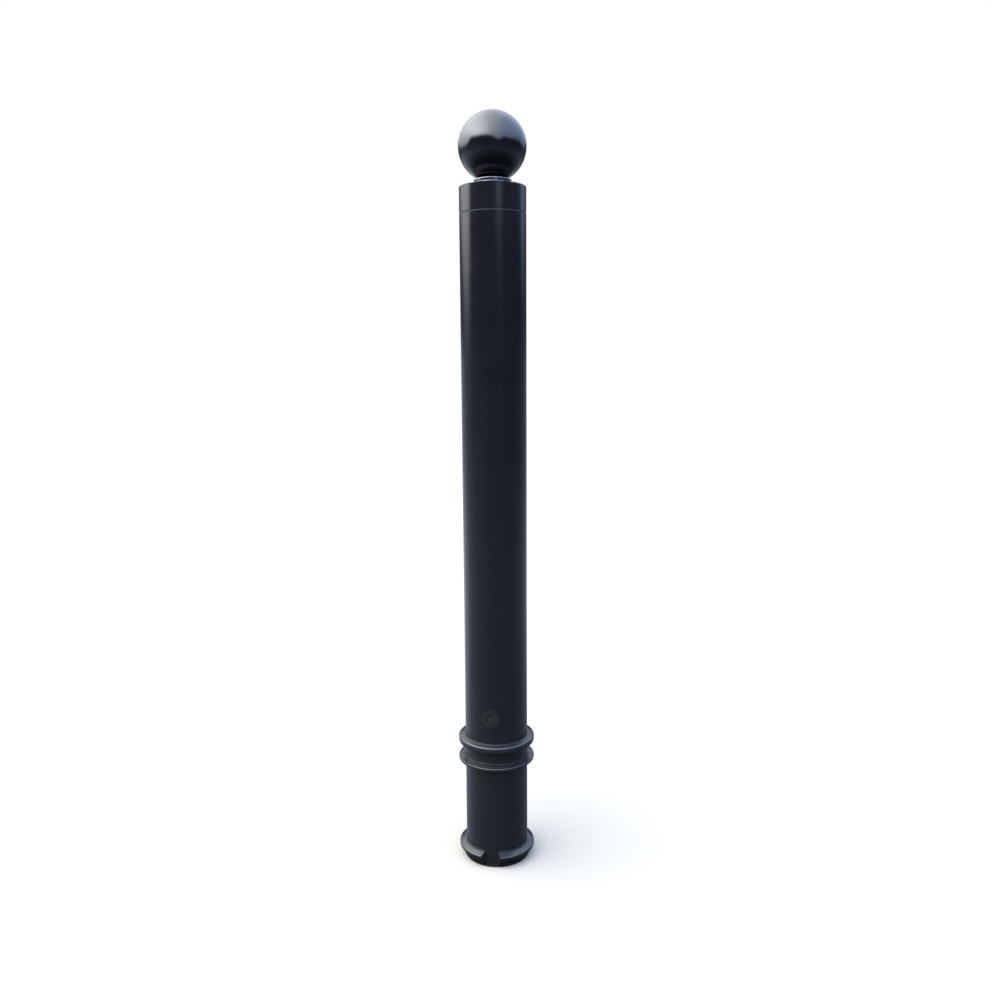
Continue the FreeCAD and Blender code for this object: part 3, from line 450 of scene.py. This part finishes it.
TUBE_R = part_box("post_tube")[1].x
COLLAR_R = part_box("upper_collar_front")[1].x
HUB_R = TUBE_R + 2.8 * MM
HUB_ROUND = 0.4 * MM
BORE_ROUND = 1.0 * MM
CHANNEL_HALF = 0.75 * MM
CHANNEL_DEPTH = 0.6 * MM
PARTING_HALF = 0.25 * MM
KEYWAY_HALF = 9.9 * MM  # at the tube; it flares to the rim
KEYWAY_FLARE = 6.7 * MM
SIDES = 192
ROUND_STEPS = 5
SHARP = math.radians(32)
WELD = 0.001 * MM
COLLARS = (  # in mm: underside, hub's top and foot, rim's top, crown, hem, channels; then screws' bearings
    ("foot", 15.5, 25.95, 24.4, 20.8, 1.0, 0.6, (59.2, 55.9), (45, 135, 205, 245, 295, 335)),
    ("lower", 169.2, 177.8, 174.2, 173.8, 1.2, 0.6, (57.8,), (45, 135, 225, 315)),
    ("upper", 198.2, 211.0, 210.2, 208.2, 2.0, 2.5, (57.0,), (45, 135, 225, 315)),
)
SET_SCREW_R = 1.25 * MM
SET_SCREW_LENGTH = 12 * MM
SET_SCREW_SUNK = 1.5 * MM
SET_SCREW_CHAMFER = 0.25 * MM
PIN_SIDES = 24
HEX_FLATS = 1.3 * MM
HEX_DEPTH = 1.2 * MM
BORE_START = -2 * MM  # past the rim, so that the bore is cut clean through the wall
BORE_DEPTH = 13 * MM


def new_piece(name, mesh, material):
    mesh.materials.append(material)
    mesh.shade_smooth()
    mesh.set_sharp_from_angle(angle=SHARP)
    piece = bpy.data.objects.new(name, mesh)
    bpy.context.scene.collection.objects.link(piece)
    return piece


def rounded(corners):
    """Outline from (radius, z, round) corners, each with its round drawn as an arc."""
    outline = []
    for i, (radius, z, round_r) in enumerate(corners):
        here = Vector((radius, z))
        if not round_r:
            outline.append(here)
            continue
        back = (Vector(corners[i - 1][:2]) - here).normalized()
        on = (Vector(corners[(i + 1) % len(corners)][:2]) - here).normalized()
        half = back.angle(on) / 2
        centre = here + (back + on).normalized() * (round_r / math.sin(half))
        first, last = (here + way * (round_r / math.tan(half)) - centre for way in (back, on))
        outline += [centre + first.lerp(last, step / ROUND_STEPS).normalized() * round_r
                    for step in range(ROUND_STEPS + 1)]
    return outline


def turned(name, corners, material, ends=None):
    """Piece turned about the post's axis. ends(radius) gives its first and last bearing, else it is whole."""
    outline = rounded(corners)
    form = bmesh.new()
    rows = []
    for radius, z in outline:
        first, last = ends(radius) if ends else (0.0, 2 * math.pi)
        bearings = [first + (last - first) * i / SIDES for i in range(SIDES + (1 if ends else 0))]
        rows.append([form.verts.new((radius * math.cos(b), radius * math.sin(b), z)) for b in bearings])
    for row, after in zip(rows, rows[1:] + rows[:1]):
        for i in range(SIDES):
            j = (i + 1) % len(row)
            form.faces.new((row[i], row[j], after[j], after[i]))
    if ends:
        form.faces.new([row[0] for row in rows])
        form.faces.new([row[-1] for row in rows])
    bmesh.ops.recalc_face_normals(form, faces=form.faces)
    mesh = bpy.data.meshes.new(name)
    form.to_mesh(mesh)
    form.free()
    return new_piece(name, mesh, material)


def cut(piece, cutter):
    """Takes the cutter's form out of the piece's mesh."""
    bite = piece.modifiers.new("cut", "BOOLEAN")
    bite.object, bite.operation, bite.solver = cutter, "DIFFERENCE", "EXACT"
    bpy.context.view_layer.update()
    mesh = bpy.data.meshes.new_from_object(piece.evaluated_get(bpy.context.evaluated_depsgraph_get()))
    piece.modifiers.remove(bite)
    form = bmesh.new()
    form.from_mesh(mesh)
    bmesh.ops.remove_doubles(form, verts=form.verts, dist=WELD)
    form.to_mesh(mesh)
    form.free()
    mesh.shade_smooth()
    mesh.set_sharp_from_angle(angle=SHARP)
    piece.data = mesh


def pins(name, places, rings, material):
    """Small round pieces that point out from the axis, each drawn from (radius, depth, hexagonal) rings."""
    form = bmesh.new()
    for bearing, reach, z in places:
        rows = []
        for radius, depth, hexagonal in rings:
            row = []
            for i in range(PIN_SIDES):
                angle = 2 * math.pi * i / PIN_SIDES
                r = radius / math.cos(angle % math.radians(60) - math.radians(30)) if hexagonal else radius
                out = Vector((reach - depth, r * math.cos(angle), z + r * math.sin(angle)))
                row.append(form.verts.new(Matrix.Rotation(math.radians(bearing), 3, "Z") @ out))
            rows.append(row)
        for row, after in zip(rows, rows[1:]):
            for i in range(PIN_SIDES):
                form.faces.new((row[i - 1], row[i], after[i], after[i - 1]))
        form.faces.new(rows[0])
        form.faces.new(rows[-1])
    bmesh.ops.recalc_face_normals(form, faces=form.faces)
    mesh = bpy.data.meshes.new(name)
    form.to_mesh(mesh)
    form.free()
    return new_piece(name, mesh, material)


def parting(radius):
    """Half the angle of the split between two segments."""
    return math.asin(PARTING_HALF / radius)


def keyway(radius):
    """Half the angle of the keyway, which flares to the rim."""
    half = KEYWAY_HALF + KEYWAY_FLARE * (radius - TUBE_R) / (COLLAR_R - TUBE_R)
    return math.asin(half / radius)


SEGMENTS = {
    "front": lambda r: (parting(r) - math.pi, -parting(r)),
    "rear": lambda r: (parting(r), math.pi - parting(r)),
    "front_left": lambda r: (parting(r) - math.pi, -math.pi / 2 - keyway(r)),
    "front_right": lambda r: (keyway(r) - math.pi / 2, -parting(r)),
}

screw_places = []
for _, base, _, _, rim_top, crown, hem, _, bearings in COLLARS:
    screw_z = (base + hem + rim_top - crown) / 2 * MM
    screw_places += [(bearing, COLLAR_R, screw_z) for bearing in bearings]
bores = pins("bores", screw_places, (
    (SET_SCREW_R, BORE_START, False), (SET_SCREW_R, BORE_DEPTH, False),
), nylon)

for stem, base, hub_top, hub_foot, rim_top, crown, hem, channels, _ in COLLARS:
    base, hub_top, hub_foot, rim_top = (level * MM for level in (base, hub_top, hub_foot, rim_top))
    fall = (hub_foot - rim_top) / (COLLAR_R - HUB_R)
    corners = [(TUBE_R, base, BORE_ROUND), (COLLAR_R, base, hem * MM), (COLLAR_R, rim_top, crown * MM)]
    for middle in channels:
        sides = middle * MM + CHANNEL_HALF, middle * MM - CHANNEL_HALF
        face = [hub_foot - fall * (side - HUB_R) for side in sides]
        corners += [(sides[0], face[0], 0), (sides[0], face[0] - CHANNEL_DEPTH, 0),
                    (sides[1], face[1] - CHANNEL_DEPTH, 0), (sides[1], face[1], 0)]
    corners += [(HUB_R, hub_foot, 0), (HUB_R, hub_top, HUB_ROUND), (TUBE_R, hub_top, 0)]
    for part in ("front_left", "front_right", "rear") if stem == "foot" else ("front", "rear"):
        segment = turned(stem + "_" + part + "_segment", corners, nylon, SEGMENTS[part])
        cut(segment, bores)
        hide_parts(stem + "_collar_" + part)
        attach(segment, "post")
bpy.data.objects.remove(bores)

# Headless set screws with hexagon sockets, run in below the rim. They clamp each segment to the tube.

seats = [(bearing, reach - SET_SCREW_SUNK, z) for bearing, reach, z in screw_places]
set_screws = pins("set_screws", seats, (
    (SET_SCREW_R, SET_SCREW_LENGTH, False), (SET_SCREW_R, SET_SCREW_CHAMFER, False),
    (SET_SCREW_R - SET_SCREW_CHAMFER, 0.0, False),
    (HEX_FLATS / 2, 0.0, True), (HEX_FLATS / 2, HEX_DEPTH, True),
), black_oxide)
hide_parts("collar_screws")
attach(set_screws, "post")

# ---------------------------------------------------------------- landing boot
# The boot is one moulding of carbon-filled rubber, pushed over the tube's end. It cushions the post when
# it drops to the pit floor.

RUBBER = "#070808"
RUBBER_CHALK = "#101112"
CHALK = 25 * MM
MOULD_GRAIN = 0.7 * MM
MOULD_GRAIN_HEIGHT = 0.03 * MM

# EPDM rubber, moulded: flat black, chalky grey in patches, with the fine grain of a blasted mould.
rubber = empty_material("epdm_rubber_moulded")
place = add_node(rubber, "ShaderNodeTexCoord", {}).outputs["Object"]
chalk = add_node(rubber, "ShaderNodeTexNoise", {"Vector": place, "Scale": 1 / CHALK, "Detail": 10.0,
                                                "Roughness": 0.7})
colour = add_node(rubber, "ShaderNodeMix", {
    FACTOR: chalk.outputs["Fac"], COLOUR_A: linear(RUBBER), COLOUR_B: linear(RUBBER_CHALK),
}, data_type="RGBA")
grain = add_node(rubber, "ShaderNodeTexNoise", {"Vector": place, "Scale": 1 / MOULD_GRAIN, "Detail": 2.0})
relief = add_node(rubber, "ShaderNodeBump", {
    "Height": grain.outputs["Fac"], "Distance": MOULD_GRAIN_HEIGHT, "Strength": 1.0,
})
shader = add_node(rubber, "ShaderNodeBsdfPrincipled", {
    "Base Color": colour.outputs[MIXED], "Roughness": 0.6, "IOR": 1.5, "Specular IOR Level": 0.25,
    "Normal": relief.outputs["Normal"],
})
add_node(rubber, "ShaderNodeOutputMaterial", {"Surface": shader.outputs["BSDF"]})
dress(rubber, "foot_boot")

# The boot as it is moulded: a blunt cone up to the foot collar, with a lip inside the tube, and the
# keyway for the casing's rail, a hair behind the tube's face and stopped by a thin lower rim.

BOOT_BOTTOM_R = 53.2 * MM
BOOT_TOP_R = 60.4 * MM
BOOT_TOP = 15.5 * MM
BOOT_BEVEL = 1.5 * MM
BOOT_INNER_R = 44.0 * MM
BOOT_LIP_R = 46.7 * MM
TUBE_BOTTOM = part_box("post_tube")[0].z
LIP_HEIGHT = 12 * MM
LIP_TOP = TUBE_BOTTOM + LIP_HEIGHT
LOWER_RIM = 2.2 * MM
KEYWAY_BACK_R = TUBE_R - 0.3 * MM
CUT_PAST_R = COLLAR_R + 3 * MM
CUT_PAST_TOP = BOOT_TOP + 1 * MM

boot = turned("landing_boot", [
    (BOOT_INNER_R, 0.0, 0), (BOOT_BOTTOM_R, 0.0, BOOT_BEVEL), (BOOT_TOP_R, BOOT_TOP, 0),
    (TUBE_R, BOOT_TOP, 0), (TUBE_R, TUBE_BOTTOM, 0), (BOOT_LIP_R, TUBE_BOTTOM, 0),
    (BOOT_LIP_R, LIP_TOP, BOOT_BEVEL / 2), (BOOT_INNER_R, LIP_TOP, 0),
], rubber)
slot = turned("slot", [
    (KEYWAY_BACK_R, LOWER_RIM, 0), (CUT_PAST_R, LOWER_RIM, 0),
    (CUT_PAST_R, CUT_PAST_TOP, 0), (KEYWAY_BACK_R, CUT_PAST_TOP, 0),
], rubber, lambda r: (-math.pi / 2 - keyway(r), -math.pi / 2 + keyway(r)))
cut(boot, slot)
bpy.data.objects.remove(slot)
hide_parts("foot_boot")
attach(boot, "post")

# ---------------------------------------------------------------- cap gasket
# A thin nylon washer between the tube and the cap keeps water out of the bore. It is punched from sheet
# and shows as a fine line.

WASHER_NYLON = "#2c3137"
WASHER_DIRT = "#1c2024"
WASHER_PATCH = 8 * MM

# Nylon sheet, punched: a slightly paler, drier grey than the paint on each side of it.
washer_nylon = empty_material("nylon_sheet_punched")
place = add_node(washer_nylon, "ShaderNodeTexCoord", {}).outputs["Object"]
dirt = add_node(washer_nylon, "ShaderNodeTexNoise", {
    "Vector": place, "Scale": 1 / WASHER_PATCH, "Detail": 5.0,
})
colour = add_node(washer_nylon, "ShaderNodeMix", {
    FACTOR: dirt.outputs["Fac"], COLOUR_A: linear(WASHER_NYLON), COLOUR_B: linear(WASHER_DIRT),
}, data_type="RGBA")
shader = add_node(washer_nylon, "ShaderNodeBsdfPrincipled", {
    "Base Color": colour.outputs[MIXED], "Roughness": 0.45, "IOR": 1.53,
})
add_node(washer_nylon, "ShaderNodeOutputMaterial", {"Surface": shader.outputs["BSDF"]})
dress(washer_nylon, "cap_gasket")

# ---------------------------------------------------------------- neck ring
# The ring under the ball is turned from aluminium bar, grooved round its rim, and clamped between the
# ball and the cap.

RING_ALLOY = "#767a81"
RING_DULL = "#5f6369"
RING_PATCH = 4 * MM

# Aluminium, turned and weathered: grey metal, bright on its beads and duller in patches.
ring_alloy = empty_material("aluminium_turned_weathered")
place = add_node(ring_alloy, "ShaderNodeTexCoord", {}).outputs["Object"]
oxide = add_node(ring_alloy, "ShaderNodeTexNoise", {"Vector": place, "Scale": 1 / RING_PATCH, "Detail": 6.0})
colour = add_node(ring_alloy, "ShaderNodeMix", {
    FACTOR: oxide.outputs["Fac"], COLOUR_A: linear(RING_ALLOY), COLOUR_B: linear(RING_DULL),
}, data_type="RGBA")
dulled = add_node(ring_alloy, "ShaderNodeMapRange", {
    "Value": oxide.outputs["Fac"], "To Min": 0.16, "To Max": 0.3,
})
shader = add_node(ring_alloy, "ShaderNodeBsdfPrincipled", {
    "Base Color": colour.outputs[MIXED], "Roughness": dulled.outputs["Result"], "Metallic": 1.0,
})
add_node(ring_alloy, "ShaderNodeOutputMaterial", {"Surface": shader.outputs["BSDF"]})
dress(ring_alloy, "neck_ring")

# The ring as it is turned: two rounded beads with a groove between them, and a top dished for the ball.

RING_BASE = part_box("neck_ring")[0].z
RING_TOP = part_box("neck_ring")[1].z
RING_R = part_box("neck_ring")[1].x
RING_BORE_R = 8.3 * MM
RING_GROOVE_R = RING_R - 2.0 * MM
RING_GROOVE_LOW = RING_BASE + 5.3 * MM
RING_GROOVE_HIGH = RING_GROOVE_LOW + 1.6 * MM
RING_ROUND = 1.2 * MM
DISH_RADII = (18.4 * MM, 15 * MM, 12 * MM, RING_BORE_R)
BALL_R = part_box("ball_finial")[1].x
BALL_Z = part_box("ball_finial")[1].z - BALL_R

dish = [(r, BALL_Z - math.sqrt(BALL_R ** 2 - r ** 2), 0) for r in DISH_RADII]
ring = turned("grooved_ring", [
    (RING_BORE_R, RING_BASE, 0), (RING_R, RING_BASE, RING_ROUND / 2), (RING_R, RING_GROOVE_LOW, RING_ROUND),
    (RING_GROOVE_R, RING_GROOVE_LOW, 0), (RING_GROOVE_R, RING_GROOVE_HIGH, 0),
    (RING_R, RING_GROOVE_HIGH, RING_ROUND / 2), (RING_R, RING_TOP, RING_ROUND),
] + dish, ring_alloy)
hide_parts("neck_ring")
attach(ring, "post")

# ---------------------------------------------------------------- ball finial
# The ball is a hollow iron casting, tapped for the stud, ground round and finished in gloss black.

GLOSS_BLACK = "#030509"
GLOSS_DUST = "#080b12"
BALL_DUST = 7 * MM
RIPPLE = 5 * MM
RIPPLE_HEIGHT = 0.010 * MM

# Gloss enamel, sprayed: black and mirror-like, with a slow ripple where the paint flowed out, and dust.
gloss_enamel = empty_material("gloss_enamel_sprayed")
place = add_node(gloss_enamel, "ShaderNodeTexCoord", {}).outputs["Object"]
dust = add_node(gloss_enamel, "ShaderNodeTexNoise", {"Vector": place, "Scale": 1 / BALL_DUST, "Detail": 8.0,
                                                     "Roughness": 0.7})
colour = add_node(gloss_enamel, "ShaderNodeMix", {
    FACTOR: dust.outputs["Fac"], COLOUR_A: linear(GLOSS_BLACK), COLOUR_B: linear(GLOSS_DUST),
}, data_type="RGBA")
hazed = add_node(gloss_enamel, "ShaderNodeMapRange", {
    "Value": dust.outputs["Fac"], "To Min": 0.08, "To Max": 0.2,
})
ripple = add_node(gloss_enamel, "ShaderNodeTexNoise", {
    "Vector": place, "Scale": 1 / RIPPLE, "Detail": 3.0,
})
relief = add_node(gloss_enamel, "ShaderNodeBump", {
    "Height": ripple.outputs["Fac"], "Distance": RIPPLE_HEIGHT, "Strength": 1.0,
})
shader = add_node(gloss_enamel, "ShaderNodeBsdfPrincipled", {
    "Base Color": colour.outputs[MIXED], "Roughness": hazed.outputs["Result"], "IOR": 1.5,
    "Normal": relief.outputs["Normal"],
})
add_node(gloss_enamel, "ShaderNodeOutputMaterial", {"Surface": shader.outputs["BSDF"]})
dress(gloss_enamel, "ball_finial")

# ---------------------------------------------------------------- camera
# It stands a little to the right of the post's front, at about chest height over the pit floor, and looks
# slightly down.

LENS = 32.05
CAMERA_TURN = math.radians(10.5)
CAMERA_PITCH = math.radians(8.85)
CAMERA_ROLL = math.radians(-0.40)
CAMERA_STAND = Vector((2.0 * MM, -1384.5 * MM, 820.7 * MM))

turn = Matrix.Rotation(CAMERA_TURN, 4, "Z")
tilt = Matrix.Rotation(math.pi / 2 - CAMERA_PITCH, 4, "X")
camera = bpy.data.objects.new("camera", bpy.data.cameras.new("camera"))
camera.data.lens = LENS
camera.matrix_world = turn @ Matrix.Translation(CAMERA_STAND) @ tilt @ Matrix.Rotation(CAMERA_ROLL, 4, "Z")
bpy.context.scene.collection.objects.link(camera)
bpy.context.scene.camera = camera

# ---------------------------------------------------------------- floor
# A plain pale floor, wide enough to reach the horizon. It isn't seen in the gloss, which shows the dark
# ground of an open yard instead.

FLOOR_R = 30.0
FLOOR_SIDES = 64
FLOOR_DROP = 0.2 * MM
FLOOR_COLOUR = "#8c8983"
FLOOR_GRAIN = 4 * MM

rim = [(FLOOR_R * math.cos(2 * math.pi * i / FLOOR_SIDES), FLOOR_R * math.sin(2 * math.pi * i / FLOOR_SIDES),
        -FLOOR_DROP) for i in range(FLOOR_SIDES)]
floor_mesh = bpy.data.meshes.new("floor")
floor_mesh.from_pydata(rim, [], [range(FLOOR_SIDES)])
floor = bpy.data.objects.new("floor", floor_mesh)
bpy.context.scene.collection.objects.link(floor)
floor.visible_glossy = False

# Screed, floated: pale and dry, with a fine even grain.
screed = empty_material("screed_floated")
place = add_node(screed, "ShaderNodeTexCoord", {}).outputs["Object"]
grain = add_node(screed, "ShaderNodeTexNoise", {"Vector": place, "Scale": 1 / FLOOR_GRAIN, "Detail": 3.0})
dry = add_node(screed, "ShaderNodeMapRange", {"Value": grain.outputs["Fac"], "To Min": 0.85, "To Max": 0.95})
shader = add_node(screed, "ShaderNodeBsdfPrincipled", {
    "Base Color": linear(FLOOR_COLOUR), "Roughness": dry.outputs["Result"], "Specular IOR Level": 0.0,
})
add_node(screed, "ShaderNodeOutputMaterial", {"Surface": shader.outputs["BSDF"]})
floor_mesh.materials.append(screed)

# ---------------------------------------------------------------- light
# Soft light from a pale overcast dome over a dark, uneven skyline, with darker ground below it. Straight
# into the camera the surroundings are plain white.

SKYLINE = (  # turn from the camera's side, in degrees to its right, and height of the skyline in degrees
    (-180, 18), (-140, 9), (-118, 5), (-100, 5), (-88, 8), (-77, 20), (-30, 24), (0, 22), (13, 12.5),
    (27, 10.5), (38, 18), (100, 14), (122, 5), (145, 12), (180, 18),
)
SKY_LEFT = "#eef1f5"
SKY_RIGHT = "#9db0d6"
SKY_IN_FRONT = 8.5
SKY_BEHIND_LEFT = 2.4
SKY_BEHIND_RIGHT = 4.4
GROUND = "#ccd6ea"
HEDGE_STRENGTH = 0.12
RAGGED_SCALE = 9.0
RAGGED_HEIGHT = 0.10

world = bpy.data.worlds.new("overcast")
bpy.context.scene.world = world
world.use_nodes = True
world.node_tree.nodes.clear()

# Which way a ray goes: X to the camera's right, Y away from it, and its bearing round the horizon.
way = add_node(world, "ShaderNodeTexCoord", {}).outputs["Generated"]
facing = add_node(world, "ShaderNodeMapping", {"Vector": way, "Rotation": (0.0, 0.0, -CAMERA_TURN)})
parts = add_node(world, "ShaderNodeSeparateXYZ", {"Vector": facing.outputs["Vector"]})
ahead = add_node(world, "ShaderNodeMath", {0: parts.outputs["Y"], 1: -1.0}, operation="MULTIPLY")
bearing = add_node(world, "ShaderNodeMath", {0: parts.outputs["X"], 1: ahead.outputs["Value"]},
                   operation="ARCTAN2")
round_trip = add_node(world, "ShaderNodeMapRange", {
    "Value": bearing.outputs["Value"], "From Min": -math.pi, "From Max": math.pi,
})

# How much of it is sky, over a ragged skyline with a soft edge.
skyline = add_node(world, "ShaderNodeValToRGB", {"Fac": round_trip.outputs["Result"]})
stops = skyline.color_ramp.elements
while len(stops) < len(SKYLINE):
    stops.new(0.5)
for stop, (degrees, rise) in zip(stops, SKYLINE):
    stop.position = (degrees + 180) / 360
    stop.color = [math.sin(math.radians(rise))] * 3 + [1.0]
ragged = add_node(world, "ShaderNodeTexNoise", {"Vector": way, "Scale": RAGGED_SCALE, "Detail": 4.0})
notch = add_node(world, "ShaderNodeMath", {
    0: ragged.outputs["Fac"], 1: RAGGED_HEIGHT, 2: parts.outputs["Z"],
}, operation="MULTIPLY_ADD")
above = add_node(world, "ShaderNodeMath", {0: notch.outputs["Value"], 1: skyline.outputs["Color"]},
                 operation="SUBTRACT")
sky_share = add_node(world, "ShaderNodeMapRange", {
    "Value": above.outputs["Value"], "From Min": -0.03, "From Max": 0.16,
}, interpolation_type="SMOOTHSTEP")

# Sky colour, white at the left and blue at the right.
side = add_node(world, "ShaderNodeMapRange", {
    "Value": parts.outputs["X"], "From Min": -0.3, "From Max": 0.7,
}, interpolation_type="SMOOTHSTEP")
sky = add_node(world, "ShaderNodeMix", {
    FACTOR: side.outputs["Result"], COLOUR_A: linear(SKY_LEFT), COLOUR_B: linear(SKY_RIGHT),
}, data_type="RGBA")

# Ground: darker paving in front of the post than behind it, darkest close underfoot, up to a dark hedge.
paving = add_node(world, "ShaderNodeMapRange", {
    "Value": parts.outputs["X"], "From Min": -0.9, "From Max": -0.2, "To Min": 0.5, "To Max": 0.28,
})
verge = add_node(world, "ShaderNodeMapRange", {
    "Value": parts.outputs["X"], "From Min": -0.2, "From Max": 0.6, "To Min": 1.15, "To Max": 0.5,
})
ground = add_node(world, "ShaderNodeMapRange", {
    "Value": parts.outputs["Y"], "From Min": -0.3, "From Max": 0.8,
    "To Min": paving.outputs["Result"], "To Max": verge.outputs["Result"],
})
farther_off = add_node(world, "ShaderNodeMapRange", {
    "Value": parts.outputs["Z"], "From Min": -0.25, "From Max": -0.08, "To Min": 1.4, "To Max": 0.7,
})
underfoot = add_node(world, "ShaderNodeMapRange", {
    "Value": parts.outputs["Z"], "From Min": -0.7, "From Max": -0.25,
    "To Min": 0.15, "To Max": farther_off.outputs["Result"],
})
shaded = add_node(world, "ShaderNodeMath", {
    0: ground.outputs["Result"], 1: underfoot.outputs["Result"],
}, operation="MULTIPLY")
hedge = add_node(world, "ShaderNodeMapRange", {
    "Value": parts.outputs["Z"], "From Min": -0.01, "From Max": 0.04,
    "To Min": shaded.outputs["Value"], "To Max": HEDGE_STRENGTH,
}, interpolation_type="SMOOTHSTEP")

# Sky brightness: strongest over the camera, and brighter high up at the left.
behind = add_node(world, "ShaderNodeMath", {0: parts.outputs["Z"], 1: -0.25, 2: parts.outputs["Y"]},
                  operation="MULTIPLY_ADD")
far_cloud = add_node(world, "ShaderNodeMapRange", {
    "Value": parts.outputs["X"], "From Min": 0.1, "From Max": 0.5,
    "To Min": SKY_BEHIND_LEFT, "To Max": SKY_BEHIND_RIGHT,
})
cloud = add_node(world, "ShaderNodeMapRange", {
    "Value": behind.outputs["Value"], "From Min": -0.6, "From Max": 0.6,
    "To Min": SKY_IN_FRONT, "To Max": far_cloud.outputs["Result"],
})
low_cloud = add_node(world, "ShaderNodeMapRange", {
    "Value": parts.outputs["X"], "From Min": -0.8, "From Max": -0.3, "To Min": 1.0, "To Max": 0.5,
})
high_cloud = add_node(world, "ShaderNodeMapRange", {
    "Value": parts.outputs["X"], "From Min": -0.8, "From Max": -0.1, "To Min": 2.0, "To Max": 0.9,
})
brighter_above = add_node(world, "ShaderNodeMapRange", {
    "Value": parts.outputs["Z"], "From Min": 0.2, "From Max": 0.65,
    "To Min": low_cloud.outputs["Result"], "To Max": high_cloud.outputs["Result"],
})
brightness = add_node(world, "ShaderNodeMath", {
    0: cloud.outputs["Result"], 1: brighter_above.outputs["Result"],
}, operation="MULTIPLY")

# Everything together, with plain white straight into the camera.
sky_light = add_node(world, "ShaderNodeBackground", {
    "Color": sky.outputs[MIXED], "Strength": brightness.outputs["Value"],
})
ground_light = add_node(world, "ShaderNodeBackground", {
    "Color": linear(GROUND), "Strength": hedge.outputs["Result"],
})
surroundings = add_node(world, "ShaderNodeMixShader", {
    0: sky_share.outputs["Result"], 1: ground_light.outputs["Background"], 2: sky_light.outputs["Background"],
})
white = add_node(world, "ShaderNodeBackground", {"Color": linear("#ffffff"), "Strength": 1.0})
straight = add_node(world, "ShaderNodeLightPath", {}).outputs["Is Camera Ray"]
seen = add_node(world, "ShaderNodeMixShader", {
    0: straight, 1: surroundings.outputs["Shader"], 2: white.outputs["Background"],
})
add_node(world, "ShaderNodeOutputWorld", {"Surface": seen.outputs["Shader"]})

bpy.context.scene.view_settings.view_transform = "Standard"
